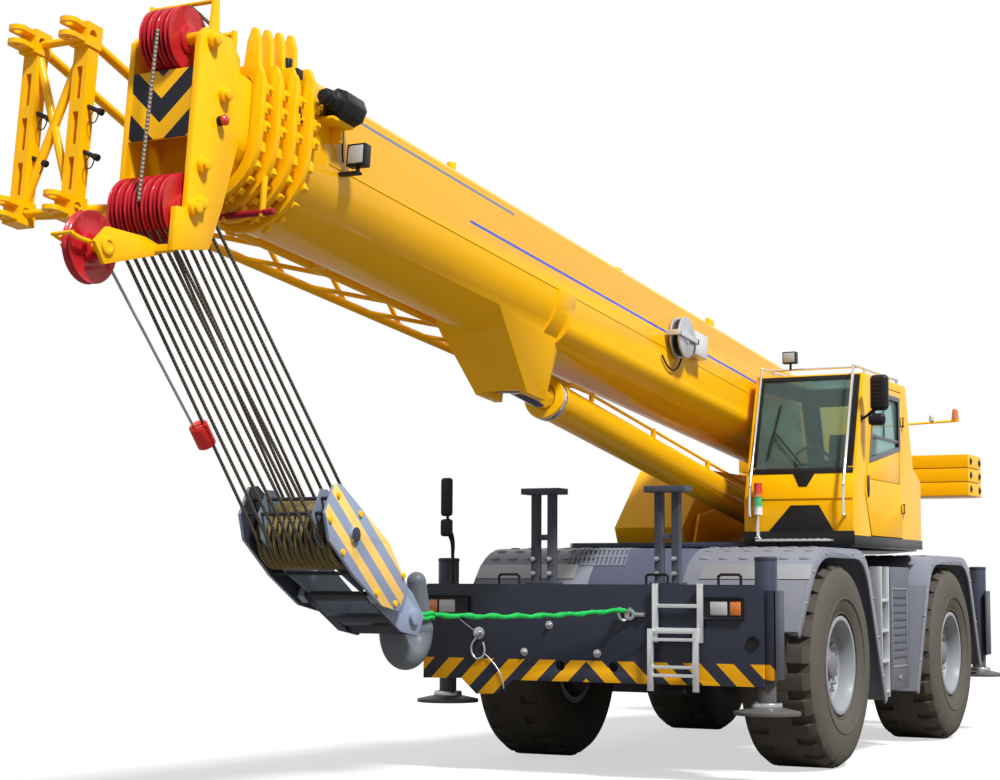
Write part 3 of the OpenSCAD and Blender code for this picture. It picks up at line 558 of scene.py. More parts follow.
# Lamps
# Black moulded pods with a clear head lamp and an amber flasher at the front corners, and
# red lamps on the rear box. The lenses are moulded with fine upright ribs.
front_pod, rear_pod = (bumper_face, 4.01, 1.368, 1.552), (-4.068, -4.04, 1.18, 1.3)
front_lens, rear_lens = (3.99, 4.006, 1.402, 1.515), (-4.066, -4.05, 1.2, 1.28)
pod_lip = 0.012


def lamp_row(depth_and_height, *spans):
    """Blocks of one depth and height, side by side across the crane."""
    u0, u1, w0, w1 = depth_and_height
    return [slab((u0, v0, w0), (u1, v1, w1)) for v0, v1 in spans]


pods = lamp_row(front_pod, (1.06, 1.445), (-1.57, -1.15)) + lamp_row(rear_pod, (1.1, 1.4), (-1.4, -1.1))
for pod in pods:
    edit_all(pod)
    bpy.ops.mesh.select_all(action="DESELECT")
    bpy.ops.object.mode_set(mode="OBJECT")
    outer = 1 if pod.data.vertices[0].co.x > 0 else -1
    for face in pod.data.polygons:
        face.select = face.normal.x * outer > 0.9
    bpy.ops.object.mode_set(mode="EDIT")
    bpy.ops.mesh.inset(thickness=pod_lip)
    bpy.ops.transform.translate(value=(-pod_lip * outer, 0, 0))
    bpy.ops.object.mode_set(mode="OBJECT")
lamp_pods = fitted(pods, "lamp_pods", black_shell, "carrier", 0.003)
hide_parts("carrier_lamps")


def lens(name, colour):
    """A clear moulded lens with fine upright ribs."""
    mat = paint(name, colour, 0.12, coat=0.8, shine=0.5)
    net = mat.node_tree
    place = put(net, "TexCoord", {}).outputs["Object"]
    ribs = put(net, "TexWave", {"Vector": place, "Scale": 22}, bands_direction="Y")
    bump = net.nodes["Bump"]
    bump.inputs["Strength"].default_value = 0.5
    net.links.new(ribs.outputs["Fac"], bump.inputs["Height"])
    return mat


clear_lens = lens("clear_lens", (0.42, 0.43, 0.43))
amber_lens = lens("amber_lens", (0.62, 0.15, 0.005))
red_lens = lens("red_lens", (0.6, 0.01, 0.008))
head_lamps = lamp_row(front_lens, (1.15, 1.3), (-1.44, -1.28))
flashers = lamp_row(front_lens, (1.325, 1.42), (-1.545, -1.46))
flashers += lamp_row(rear_lens, (1.3, 1.38), (-1.38, -1.3))
tail_lamps = lamp_row(rear_lens, (1.12, 1.29), (-1.29, -1.12))
fitted(head_lamps, "clear_lenses", clear_lens, "carrier", 0.006)
fitted(flashers, "amber_lenses", amber_lens, "carrier", 0.006)
fitted(tail_lamps, "red_lenses", red_lens, "carrier", 0.006)

# Road mirror
# Two moulded black heads on a bent steel arm at the right front corner, clamped to the
# bumper's top, with silvered glass on the driver's side.
heads = [slab((3.918, -1.455, 2.262), (3.982, -1.343, 2.61)),
         slab((3.922, -1.458, 2.08), (3.978, -1.34, 2.238))]
for head in heads:
    ease_edges(head, 0.03, 5, 35)
arm_foot = (3.8, -1.415, bumper_top)
arm = piped([arm_foot, (3.8, -1.415, 1.98), (3.81, -1.414, 2.05), (3.9, -1.405, 2.1), (3.93, -1.4, 2.15)],
            0.016)
stay = piped([(3.8, -1.415, 1.9), (3.84, -1.37, 2.03), (3.92, -1.36, 2.11)], 0.011)
spine = rod((3.93, -1.4, 2.12), (3.93, -1.4, 2.5), 0.014)
clamp = turned([(-0.003, 0), (-0.003, 0.045), (0.014, 0.045), (0.02, 0.026), (0.06, 0.024), (0.062, 0)],
               arm_foot, to_top, 24)
road_mirror = fitted(heads + [arm, stay, spine, clamp], "road_mirror", black_shell, "carrier", 0)
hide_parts("carrier_mirror")
mirror_glass = paint("mirror_glass", (0.6, 0.63, 0.66), 0.05, metal=1.0, bump=0.0)
panes = [slab((3.914, -1.44, 2.285), (3.92, -1.358, 2.588)),
         slab((3.918, -1.44, 2.1), (3.924, -1.358, 2.22))]
fitted(panes, "road_mirror_glass", mirror_glass, "carrier", 0.002)

# Axles and wheels
# Cast axles with steering knuckles, white pressed rims held by a ring of wheel nuts, and
# wide earthmover tyres. The rubber is dull and takes the colour of the road. The sidewalls
# are painted lighter than the tread: painted sunlight.
axle_paint = paint("axle_paint", (0.02, 0.021, 0.025), 0.55, dust=1.0)
rim_white = paint("rim_white", (0.265, 0.282, 0.30), 0.38, dust=0.25)
hub_grey = paint("hub_grey", (0.16, 0.165, 0.18), 0.45, dust=0.5)
rubber = paint("tyre_rubber", (0.066, 0.060, 0.049), 0.8, grain=14, shift=0.35, bump=0.5, dust=0.3,
               shine=0.08)
# Painted sunlight: the band on both sidewalls is painted lighter than the tread.
sidewall_painted_light = (0.105, 0.096, 0.08)
net = rubber.node_tree
on_wall = within(net, reckon(net, "ABSOLUTE", axes(net)[1]), 1.64, 1.8)
lay_over(rubber, sidewall_painted_light, reckon(net, "MULTIPLY", on_wall, 0.75))
for node in ("front_axle", "rear_axle"):
    eased(node, axle_paint, 0.008)
corners = ("front_left", "front_right", "rear_left", "rear_right")
hub_middle = {"front": (1.98, 0.93), "rear": (-2.04, 0.93)}
nuts, nut_circle = 20, 0.292
disc_profile = [(0.1, 0.362), (0.19, 0.371), (0.2, 0.362), (0.172, 0.345), (0.16, 0.33), (0.16, 0.24),
                (0.1, 0.225)]
hub_profile = [(0, 0.118), (0, 0.16), (0.012, 0.16), (0.02, 0.13), (0.06, 0.118), (0.075, 0.09), (0.08, 0)]
wall_band = [(-0.004, 0.60), (0.006, 0.605), (0.006, 0.622), (-0.004, 0.627)]
wall_bead = [(-0.004, 0.47), (0.005, 0.475), (0.005, 0.487), (-0.004, 0.492)]
for corner in corners:
    eased("knuckle_" + corner, axle_paint, 0.006)
    eased("rim_" + corner, rim_white, 0.004)
    eased("tyre_" + corner, rubber, 0.012)
    end, side = corner.split("_")
    u, w = hub_middle[end]
    out = 1 if side == "left" else -1
    outward = (0, out, 0)
    wheel = "wheel_" + corner
    disc = turned(disc_profile, (u, out * 1.32, w), outward, 64, True)
    fitted(disc, "disc_" + corner, rim_white, wheel, 0)
    nut_foot = Vector((u + nut_circle, out * 1.478, w))
    nut = rod(nut_foot, nut_foot + 0.034 * Vector(outward), 0.021, 6)
    nut_tip = rod(nut_foot, nut_foot + 0.05 * Vector(outward), 0.012, 10)
    hub = at((u, 0, w))
    ring = [hub @ Matrix.Rotation(2 * math.pi * i / nuts, 4, "Y") @ hub.inverted() for i in range(nuts)]
    fitted(copied(gathered([nut, nut_tip]), ring), "nuts_" + corner, bare_steel, wheel, 0.002)
    fitted(turned(hub_profile, (u, out * 1.511, w), outward, 32), "hub_" + corner, hub_grey, wheel, 0.003)
    rings = [turned(wall_band, (u, out * 1.69, w), outward, 64, True),
             turned(wall_bead, (u, out * 1.655, w), outward, 64, True)]
    fitted(rings, "wall_rings_" + corner, rubber, wheel, 0)

# Outriggers
# Welded box beams that slide out of the frame, each with a hydraulic jack in a black
# shroud and a round grey float held by a bare steel collar.
float_paint = paint("float_paint", (0.06, 0.065, 0.08), 0.45, dust=0.8)
tube_top = 1.864
shroud_low, shroud_high, shroud_half, shroud_out = 0.87, 1.61, 0.115, 0.118
collar_profile = [(0.062, 0.1), (0.062, 0.13), (0.1, 0.125), (0.105, 0.1)]
cap_profile = [(-0.002, 0), (-0.002, 0.099), (0.02, 0.099), (0.028, 0.09), (0.03, 0)]
for corner in corners:
    eased("beam_" + corner, slate_paint, 0.006)
    eased("jack_" + corner, float_paint, 0.004)
    low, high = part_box("jack_" + corner)
    u, v = (low.x + high.x) / 2, (low.y + high.y) / 2
    collar = turned(collar_profile, (u, v, low.z), to_top, 32, True)
    fitted(collar, "float_collar_" + corner, bare_steel, "jack_" + corner, 0.002)
    cap = turned(cap_profile, (u, v, tube_top), to_top, 32)
    fitted(cap, "jack_cap_" + corner, slate_paint, "outrigger_" + corner, 0.002)
    out = 1 if v > 0 else -1
    end = shroud_half if u > 0 else -shroud_half
    end_x = sorted((u + end * 0.9, u + end))
    end_y = sorted((v + out * 0.03, v + out * shroud_out))
    skin_y = sorted((v + out * 0.104, v + out * shroud_out))
    shroud = [slab((end_x[0], end_y[0], shroud_low), (end_x[1], end_y[1], shroud_high)),
              slab((u - shroud_half, skin_y[0], shroud_low), (u + shroud_half, skin_y[1], shroud_high))]
    fitted(shroud, "jack_shroud_" + corner, bumper_paint, "outrigger_" + corner, 0.003)

# Turntable
# A heavy plate on the slewing ring with two tall cheeks for the boom foot, slab
# counterweight behind, rope drums between the cheeks and a covered housing at the right.
amber = (0.92, 0.46, 0.002)
base_plate_top = 2.082


def yellow(name):
    """The crane's glossy yellow over steel plate."""
    return paint(name, amber, 0.38, coat=0.22, shift=0.05, bump=0.03, shine=0.06)


def on_deck(piece, name, mat, ease=0.003):
    """Fit a piece that turns with the superstructure."""
    return fitted(piece, name, mat, "superstructure", ease)


amber_paint = yellow("amber_paint")
turntable_paint = yellow("turntable_paint")
net = turntable_paint.node_tree
lay_over(turntable_paint, slate, within(net, axes(net)[2], 1.8, base_plate_top))
eased("turntable", turntable_paint, 0.006)
eased("counterweight", amber_paint, 0.035, 4)
eased("winches", slate_dark, 0.004)
eased("side_housing", amber_paint, 0.03, 3)
slab_boss = turned([(-0.004, 0), (-0.004, 0.045), (0.004, 0.045), (0.006, 0.026), (0.016, 0.024),
                    (0.018, 0)], middle, to_left, 24)
boss_spots = [(u, w) for w in (2.825, 2.993, 3.16) for u in (-3.95, -4.38)]
on_deck(copied(slab_boss, both_sides(1.45, boss_spots)), "slab_bolts", slate_dark, 0)
strand_dark, strand_light = (0.040, 0.033, 0.025), (0.20, 0.175, 0.13)
lay_length = 0.026


def stranded(name, origin=middle, tilt=0.0, light=strand_light):
    """Greasy steel rope: pale strands wind slantwise round a dark core, along a tilted line."""
    mat = paint(name, strand_dark, 0.5, metal=0.3, grain=60, shift=0.4)
    net = mat.node_tree
    u, v, w = axes(net, origin, tilt)
    wind = reckon(net, "ADD", w, reckon(net, "ADD", u, v))
    swell = reckon(net, "SINE", reckon(net, "MULTIPLY", wind, 2 * math.pi / lay_length))
    lay_over(mat, light, reckon(net, "MULTIPLY_ADD", swell, 0.4, 0.4))
    return mat


drum_rope = stranded("drum_rope_steel")
laps, lap_pitch = 30, 0.0245
winding = [(0.002, 0.152)]
for lap in range(laps):
    winding += [(0.002 + lap * lap_pitch, 0.168), (0.002 + (lap + 0.5) * lap_pitch, 0.18)]
winding.append((0.002 + laps * lap_pitch, 0.152))
drums = [turned(winding, (u, -0.37, w), to_left, 36, True) for u, w in ((-3.23, 2.62), (-3.56, 2.96))]
on_deck(drums, "drum_rope", drum_rope, 0)
upper_hose = [(0.1, 0.36, 2.15), (-0.15, 0.33, 2.35), (-0.5, 0.28, 2.52), (-0.8, 0.24, 2.5),
              (-0.95, 0.3, 2.34)]
lower_hose = [(0.18, 0.3, 2.12), (-0.1, 0.27, 2.3), (-0.45, 0.23, 2.46), (-0.78, 0.2, 2.42),
              (-0.9, 0.28, 2.2)]
on_deck([piped(upper_hose, 0.024), piped(lower_hose, 0.024)], "luff_hoses", black_shell, 0)
panel_edge = [(u, -1.302, w) for u, w in ((0.1, 2.2), (-0.35, 2.62), (-1.5, 2.62), (-1.5, 2.2))]
panel = [cut_plate(panel_edge, (0, -0.012, 0))]
panel += [slab((-1.3 + 0.12 * i, -1.322, 2.3), (-1.22 + 0.12 * i, -1.31, 2.54)) for i in range(8)]
on_deck(panel, "housing_panel", amber_paint, 0.006)

# Cab
# A welded steel shell, lined in dark grey, with bonded windows: black border and wiper on
# the screen, black skirt and grille low down, seat and consoles inside, bright rails outside.
cab_middle = Vector((0.1, 1.03, 2.9))
lining_grey = (0.035, 0.037, 0.04)
cab_paint = yellow("cab_paint")
inward = put(cab_paint.node_tree, "Attribute", {}, attribute_name="inward")
lay_over(cab_paint, lining_grey, inward.outputs["Fac"])


def lined(piece):
    """Mark the faces that look into the cab, which are lined in dark grey."""
    marks = piece.data.attributes.new("inward", "FLOAT", "FACE")
    for face in piece.data.polygons:
        marks.data[face.index].value = float(face.normal.dot(face.center - cab_middle) < 0)


lined(eased("cab_shell", cab_paint, 0.035, 4))
eased("cab_interior", black_shell, 0.02)
cab_glass = paint("cab_glass_tint", (0.50, 0.68, 0.66), 0.03, bump=0.0, shine=0.5)
sockets = cab_glass.node_tree.nodes["Principled BSDF"].inputs
sockets["Transmission Weight"].default_value = 0.92
sockets["IOR"].default_value = 1.1
eased("cab_glass", cab_glass, 0)
chrome = paint("chrome_tube", (0.72, 0.73, 0.75), 0.12, metal=1.0, bump=0.02)
eased("cab_rails", chrome, 0)
heads = [slab((1.0, 1.69, 3.345), (1.1, 1.868, 3.695)), slab((1.005, 1.665, 3.2), (1.095, 1.835, 3.32))]
for head in heads:
    ease_edges(head, 0.045, 5, 35)
stalk = [piped([(1.0, 1.592, 3.28), (1.01, 1.63, 3.29), (1.045, 1.69, 3.33), (1.05, 1.72, 3.36)], 0.014),
         rod((1.05, 1.72, 3.25), (1.05, 1.72, 3.5), 0.014), slab((0.98, 1.58, 3.25), (1.02, 1.594, 3.31))]
cab_mirror = on_deck(heads + stalk, "cab_mirror_heads", black_shell, 0)
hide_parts("cab_mirror")
panes = [slab((0.996, 1.715, 3.375), (1.002, 1.843, 3.665)),
         slab((1.001, 1.69, 3.222), (1.007, 1.81, 3.298))]
on_deck(panes, "cab_mirror_glass", mirror_glass, 0.002)
ribs = [slab((1.094, 1.74, 3.42 + 0.04 * i), (1.106, 1.82, 3.436 + 0.04 * i)) for i in range(6)]
on_deck(ribs, "mirror_ribs", black_shell)
cab_front = 1.3
screen_out = Vector((0.9531, 0, 0.3026))


def screen(lift, *spots):
    """Points on the sloped front of the cab, or a little proud of it."""
    return [Vector((cab_front - (w - 2.48) * 0.4 / 1.26, v, w)) + lift * screen_out for v, w in spots]


sill = screen(0.001, (0.482, 2.49), (1.578, 2.49), (1.578, 2.76), (0.482, 2.76))
on_deck(cut_plate(sill, screen_out * 0.012), "screen_sill", amber_paint, 0.005)
notch = screen(0.0135, (0.5, 2.735), (0.96, 2.735), (1.03, 2.607), (1.11, 2.607), (1.18, 2.735),
               (1.56, 2.735), (1.56, 2.79), (0.5, 2.79))
trim = [cut_plate(notch, screen_out * 0.005)]
for v0, v1, w0, w1 in ((0.51, 0.572, 2.81, 3.725), (1.488, 1.55, 2.81, 3.725), (0.57, 1.49, 3.675, 3.725)):
    trim.append(cut_plate(screen(0.0015, (v0, w0), (v1, w0), (v1, w1), (v0, w1)), screen_out * 0.006))
grille = [(cab_front + 0.001, v, w) for v, w in ((0.731, 2.18), (1.385, 2.18), (1.239, 2.43), (0.957, 2.43))]
trim.append(cut_plate(grille, (0.01, 0, 0)))
trim.append(slab((cab_front, 0.478, 2.045), (1.316, 1.59, 2.18)))
trim.append(slab((-1.15, 1.58, 2.045), (1.316, 1.592, 2.14)))
on_deck(trim, "cab_trim", black_shell, 0.002)
wiper_arm = screen(0.03, (1.06, 2.80)) + screen(0.035, (0.95, 2.92)) + screen(0.03, (0.73, 3.16))
wiper_blade = screen(0.022, (0.69, 2.9)) + screen(0.026, (0.73, 3.16)) + screen(0.022, (0.77, 3.42))
on_deck([piped(wiper_arm, 0.009), piped(wiper_blade, 0.011)], "wiper", black_shell, 0)
step = [slab((1.318, 0.634, 2.08), (1.42, 1.39, 2.1))]
step += [slab((1.325, 0.66 + 0.072 * i, 2.099), (1.415, 0.69 + 0.072 * i, 2.106)) for i in range(10)]
on_deck(step, "cab_step", alloy, 0.002)
lamp_box = [slab((0.86, 0.76, 3.86), (0.94, 0.9, 3.98)), rod((0.89, 0.83, 3.8), (0.89, 0.83, 3.87), 0.012)]
on_deck(lamp_box, "roof_lamp", black_shell, 0.006)
on_deck(slab((0.935, 0.772, 3.872), (0.946, 0.888, 3.968)), "roof_lamp_lens", clear_lens, 0.004)


def round_turn(points, step, start=0):
    """Points at even steps of so many degrees round a circle, as (cosine, sine)."""
    angles = [math.radians(start + step * i) for i in range(points)]
    return [(math.cos(a), math.sin(a)) for a in angles]


wheel_rim = [(0.78 + 0.09 * s, 1.02 + 0.19 * c, 2.86 + 0.16 * s) for c, s in round_turn(24, 15)]
steering = [piped(wheel_rim, 0.014, False, closed=True), rod((0.95, 1.02, 2.5), (0.79, 1.02, 2.84), 0.03),
            rod((0.70, 1.02, 2.72), (0.86, 1.02, 3.0), 0.012),
            rod((0.78, 0.84, 2.86), (0.78, 1.2, 2.86), 0.012)]
on_deck(steering, "steering_wheel", black_shell, 0)

# Cab door
# A steel door hinged at its rear edge and lined like the cab, with a divided window in a
# grey frame and a black oval handle near the front.
lined(eased("cab_door", cab_paint, 0.006))
eased("door_glass", cab_glass, 0)
door_face = 1.5855
infill = [(u, 1.57, w) for u, w in ((0.795, 2.705), (0.757, 2.87), (-0.325, 3.06), (-0.325, 2.705))]
fitted(cut_plate(infill, (0, 0.014, 0)), "door_infill", amber_paint, "door", 0.003)
window = [(0.775, 2.86), (0.60, 3.595), (-0.345, 3.595), (-0.345, 3.05)]
window_middle = (0.17, 3.27)
strips = []
for i, start in enumerate(window):
    end = window[(i + 1) % len(window)]
    inner = [(u + (window_middle[0] - u) * 0.11, w + (window_middle[1] - w) * 0.15) for u, w in (end, start)]
    strips.append(cut_plate([(u, door_face, w) for u, w in [start, end] + inner], (0, 0.006, 0)))
strips.append(slab((-0.3, 1.572, 3.12), (0.69, 1.586, 3.15)))
strips.append(slab((0.2, 1.572, 3.14), (0.225, 1.586, 3.56)))
frame_grey = paint("frame_grey", (0.10, 0.105, 0.12), 0.4)
fitted(strips, "door_window_frame", frame_grey, "door", 0.002)
handle = [(0.823 + 0.034 * c, door_face, 2.63 + 0.11 * s) for c, s in round_turn(20, 18)]
fitted(cut_plate(handle, (0, 0.012, 0)), "door_handle", black_shell, "door", 0.003)

# Signal lamps
# A stacked light column on a bright stalk in front of the cab, and an amber beacon and a
# small clear lamp on a bent arm at the rear.
stack_at = (1.35, 0.64, 2.11)
stack_radius = 0.041


def stack_ring(low, high):
    """One moulded ring of the light column with a rib at each end."""
    rib = stack_radius * 1.06
    return turned([(low, 0), (low, rib), (low + 0.006, rib), (low + 0.009, stack_radius),
                   (high - 0.009, stack_radius), (high - 0.006, rib), (high, rib), (high, 0)],
                  stack_at, to_top, 24)


green_lens = lens("green_lens", (0.01, 0.42, 0.14))
white_shell = paint("white_shell", (0.76, 0.77, 0.78), 0.35)
stalk = turned([(0, 0), (0, 0.04), (0.012, 0.04), (0.02, 0.018), (0.235, 0.014), (0.24, 0)],
               stack_at, to_top, 24)
stub = rod((cab_front, 0.64, 2.15), (1.35, 0.64, 2.15), 0.02)
column = on_deck([stalk, stub], "stack_stalk", chrome, 0.002)
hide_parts("signal_lamps")
on_deck(stack_ring(0.232, 0.31), "stack_base", white_shell, 0)
on_deck(stack_ring(0.311, 0.405), "stack_green", green_lens, 0)
on_deck(stack_ring(0.406, 0.445), "stack_amber", amber_lens, 0)
on_deck(stack_ring(0.446, 0.54), "stack_red", red_lens, 0)
arm = piped([(-2.8, 0.447, 3.36), (-2.8, 0.447, 3.51), (-3.44, 1.4, 3.61)], 0.016, False)
foot = slab((-3.48, 1.36, 3.6), (-3.4, 1.44, 3.625))
on_deck([arm, foot], "beacon_arm", amber_paint, 0.002)
beacon = [(0, 0), (0, 0.045), (0.02, 0.045), (0.025, 0.04), (0.1, 0.036), (0.125, 0.024), (0.132, 0)]
on_deck(turned(beacon, (-3.44, 1.4, 3.625), to_top, 24), "beacon_dome", amber_lens, 0)
side_lamp = [(0, 0), (0, 0.03), (0.05, 0.03), (0.07, 0.018), (0.075, 0)]
on_deck(turned(side_lamp, (-3.28, 1.16, 3.6), to_top, 20), "rear_lamp", clear_lens, 0)

# Boom
# Five folded and welded steel sections that slide out of one another, with a round belly
# and flanged collars, sprayed glossy yellow. A thin blue line runs along the base section.
boom_line = ((-1.9, 0, 3.15), -5.55)
line_blue = (0.03, 0.09, 0.62)
line_grey = (0.17, 0.22, 0.33)
chevron_dark = (0.012, 0.013, 0.022)
chevron_pitch = 0.29


def leaning(origin, tilt):
    """The place of a piece that was made level at the origin and leans about Y."""
    return at(origin) @ Matrix.Rotation(math.radians(tilt), 4, "Y")


def on_boom(piece, name, mat, body="boom", ease=0.003, angle=35):
    """Fit a piece that was made in the boom's own frame."""
    return fitted(piece, name, mat, body, ease, angle, leaning(*boom_line))


base_paint = yellow("base_paint")
net = base_paint.node_tree
s, y, h = axes(net, *boom_line)
on_side = within(net, reckon(net, "ABSOLUTE", y), 0.395, 0.42)
lay_over(base_paint, line_blue, on_side, within(net, h, 0.287, 0.309), within(net, s, 0.9, 8.9))
lay_over(base_paint, line_grey, on_side, within(net, h, 0.53, 0.55), within(net, s, 8.2, 10.72))
eased("boom_base", base_paint, 0.004)
head_paint = yellow("head_paint")
net = head_paint.node_tree
s, y, h = axes(net, *boom_line)
rise = reckon(net, "SUBTRACT", h, reckon(net, "MULTIPLY", reckon(net, "ABSOLUTE", y), 0.95))
chevron = reckon(net, "FRACT", reckon(net, "DIVIDE", reckon(net, "SUBTRACT", rise, 0.07), chevron_pitch))
lay_over(head_paint, chevron_dark, within(net, chevron, 0, 0.53), within(net, h, -0.04, 0.41),
         within(net, s, 12.092, 12.12), within(net, y, -0.221, 0.221))
for number in (2, 3, 4):
    eased("boom_section_%d" % number, amber_paint, 0.004)
eased("boom_section_5", head_paint, 0.004)
section_bodies = ("boom", "section_2", "section_3", "section_4")
collar_ends = (11.17, 11.30, 11.43, 11.56)
pad_angles = (12, 27, 42, 57, 72, 108, 123, 138, 153, 168)
pad_stand = 0.03
belly_height = 0.152
for k, (body, end) in enumerate(zip(section_bodies, collar_ends)):
    wide, deep = 0.41 - 0.036 * k, 0.462 - 0.032 * k
    back = end - 0.045
    block = slab((back - 0.05, -0.036, -0.017), (back + 0.002, 0.036, 0.026))
    stud = rod((back - 0.024, 0, 0.02), (back - 0.024, 0, 0.05), 0.015, 8)
    places = []
    for a in pad_angles:
        c, d = math.cos(math.radians(a)), math.sin(math.radians(a))
        lean = math.atan2(c * deep, d * wide)
        places.append(at((0, (wide + pad_stand) * c, belly_height - (deep + pad_stand) * d))
                      @ Matrix.Rotation(math.pi - lean, 4, "X"))
    for side in (1, -1):
        face_on = Matrix.Rotation(-side * math.pi / 2, 4, "X")
        places += [at((0, side * (wide + pad_stand), w)) @ face_on for w in (0.2, 0.32, 0.44)]
    pads = copied(gathered([block, stud]), places)
    on_boom(pads, "collar_pads_%d" % (k + 1), amber_paint, body, 0.004)
seams = [rod((0.2, v, belly_height), (10.86, v, belly_height), 0.006, 8) for v in (0.409, -0.409)]
on_boom(seams, "boom_seams", amber_paint, ease=0)
lugs = [slab((8.80, 0.14, 0.63), (8.92, 0.26, 0.70)), rod((8.86, 0.2, 0.69), (8.86, 0.2, 0.78), 0.035, 20),
        slab((3.6, 0.26, 0.63), (3.75, 0.30, 0.74)), slab((6.0, 0.28, 0.63), (6.1, 0.36, 0.66))]
on_boom(lugs, "boom_lugs", amber_paint, ease=0.006)
dull_red = paint("dull_red", (0.30, 0.012, 0.02), 0.5)
roller = turned([(0, 0), (0, 0.016), (0.004, 0.022), (0.416, 0.022), (0.42, 0.016), (0.42, 0)],
                (11.412, -0.02, -0.325), to_left, 20)
on_boom(roller, "belly_roller", dull_red, "section_3", 0)
hangers = [slab((11.392, 0.02, -0.352), (11.432, 0.045, -0.275)),
           slab((11.392, 0.3, -0.352), (11.432, 0.325, -0.08))]
on_boom(hangers, "roller_hangers", amber_paint, "section_3", 0.005)

# Boom gear
# A black cable drum for the length gauge, a work lamp, a switch box, a bright cable reel
# and loose cables along the boom's left side, all on small welded brackets.
drum = turned([(0, 0), (0, 0.045), (0.03, 0.045), (0.03, 0.06), (0.05, 0.06), (0.05, 0.045), (0.09, 0.045),
               (0.1, 0.07), (0.16, 0.07), (0.17, 0.105), (0.38, 0.105), (0.395, 0.09), (0.4, 0)],
              (11.16, 0.53, 0.5), (-1, 0, 0), 8)
on_boom(drum, "gauge_drum", black_shell, ease=0.006, angle=25)
bracket = [slab((10.8, 0.405, 0.38), (11.05, 0.55, 0.4)), slab((10.84, 0.405, 0.28), (10.87, 0.5, 0.39))]
on_boom(bracket, "drum_bracket", amber_paint, ease=0.004)
lamp = [slab((10.66, 0.47, 0.16), (10.74, 0.61, 0.31)), slab((10.67, 0.405, 0.11), (10.73, 0.56, 0.13)),
        rod((10.7, 0.54, 0.12), (10.7, 0.54, 0.17), 0.014)]
on_boom(lamp, "boom_lamp", black_shell, ease=0.006)
on_boom(slab((10.735, 0.485, 0.175), (10.748, 0.595, 0.295)), "boom_lamp_lens", clear_lens, ease=0.004)
cable = [(10.75, 0.44, 0.5), (10.72, 0.425, 0.42), (10.74, 0.425, 0.3), (10.7, 0.425, 0.2)]
on_boom(piped(cable, 0.006), "lamp_cable", black_shell, ease=0)
switch_cable = [(11.235, 0.37, 0.5), (11.24, 0.42, 0.4), (11.235, 0.44, 0.3)]
switch = [rod((11.235, 0.3, 0.66), (11.235, 0.3, 0.74), 0.03, 16),
          rod((11.235, 0.36, 0.5), (11.235, 0.36, 0.66), 0.022, 12),
          slab((11.2, 0.29, 0.6), (11.27, 0.4, 0.66)), piped(switch_cable, 0.008)]
on_boom(switch, "section_switch", black_shell, "section_2", 0.006)
reel_paint = paint("reel_alloy", (0.5, 0.51, 0.53), 0.35, metal=0.6, grain=20)
net = reel_paint.node_tree
lay_over(reel_paint, (0.72, 0.73, 0.74), within(net, axes(net, *boom_line)[0], 4.2, 4.66))
eased("cable_reel", reel_paint, 0.006)
cable_pitch = 0.014
turns = [(0.004, 0.065)]
for lap in range(4):
    turns += [(0.004 + cable_pitch * lap, 0.165), (0.011 + cable_pitch * lap, 0.172)]
turns.append((0.056, 0.065))
on_boom(turned(turns, (4.9, 0.462, 0.28), to_left, 40, True), "reel_cable", black_shell, ease=0)
straps = [slab((4.66, 0.545, 0.26), (5.12, 0.565, 0.31)), slab((4.66, 0.41, 0.26), (4.69, 0.565, 0.31)),
          slab((5.1, 0.41, 0.26), (5.13, 0.565, 0.31))]
on_boom(straps, "reel_strap", alloy)
tail = [(4.78, 0.45, 0.15), (4.82, 0.44, 0.02), (4.95, 0.43, -0.06), (5.1, 0.43, -0.02), (5.2, 0.425, 0.06)]
on_boom(piped(tail, 0.009), "reel_tail", black_shell, ease=0)

# Boom head
# Welded cheek plates with two rows of red cast sheaves, a guarded nose sheave, a hoist
# rope down the front, and lugs and a red marker lamp on the cheeks.
red_sheave = paint("red_sheave", (0.46, 0.011, 0.020), 0.35, coat=0.4)
eased("head_sheaves", red_sheave, 0.002)
rope_radius = 0.0115
cheek_face = 0.26
head_rope = stranded("head_rope_steel", *boom_line, (0.44, 0.38, 0.29))
front_rope = rod((12.229, 0.031, 0.61), (12.269, 0.031, -0.47), rope_radius, 12)
over_rope = piped([(12.02, 0.093, 0.828), (11.9, 0.093, 0.815), (11.7, 0.093, 0.77)], rope_radius)
on_boom([front_rope, over_rope], "head_rope", head_rope, "section_5", 0)
guide = [rod((11.7, -0.1, 0.745), (11.7, 0.2, 0.745), 0.022, 16),
         slab((11.68, -0.12, 0.5), (11.72, -0.095, 0.77)), slab((11.68, 0.195, 0.5), (11.72, 0.22, 0.77))]
on_boom(guide, "rope_guide", amber_paint, "section_5", 0.004)
cheek_lug = turned([(-0.004, 0), (-0.004, 0.05), (0.03, 0.05), (0.03, 0.034), (0.055, 0.034), (0.06, 0)],
                   middle, to_left, 24)
lug_spots = ((11.995, 0.598), (12.0, -0.43), (12.05, -0.47), (11.84, 0.3), (12.0, -0.19))
on_boom(copied(cheek_lug, both_sides(cheek_face, lug_spots)), "cheek_lugs", amber_paint, "section_5")
marker_at = (11.86, 0.259, 0.13)
marker_base = turned([(0, 0), (0, 0.03), (0.04, 0.03), (0.04, 0)], marker_at, to_left, 20)
on_boom(marker_base, "marker_base", black_shell, "section_5")
marker = turned([(0.038, 0), (0.038, 0.034), (0.055, 0.032), (0.068, 0.018), (0.072, 0)],
                marker_at, to_left, 20)
on_boom(marker, "marker_lamp", red_lens, "section_5", 0)
guard = [piped([(12.71, v, -0.83), (12.8, v, -0.84), (12.87, v, -0.82)], 0.014) for v in (-0.06, 0.06)]
guard.append(rod((12.87, -0.075, -0.82), (12.87, 0.075, -0.82), 0.012, 12))
guard.append(rod((12.55, -0.1, -0.66), (12.62, -0.1, -0.6), 0.012, 12))
on_boom(guard, "nose_guard", amber_paint, "section_5", 0)
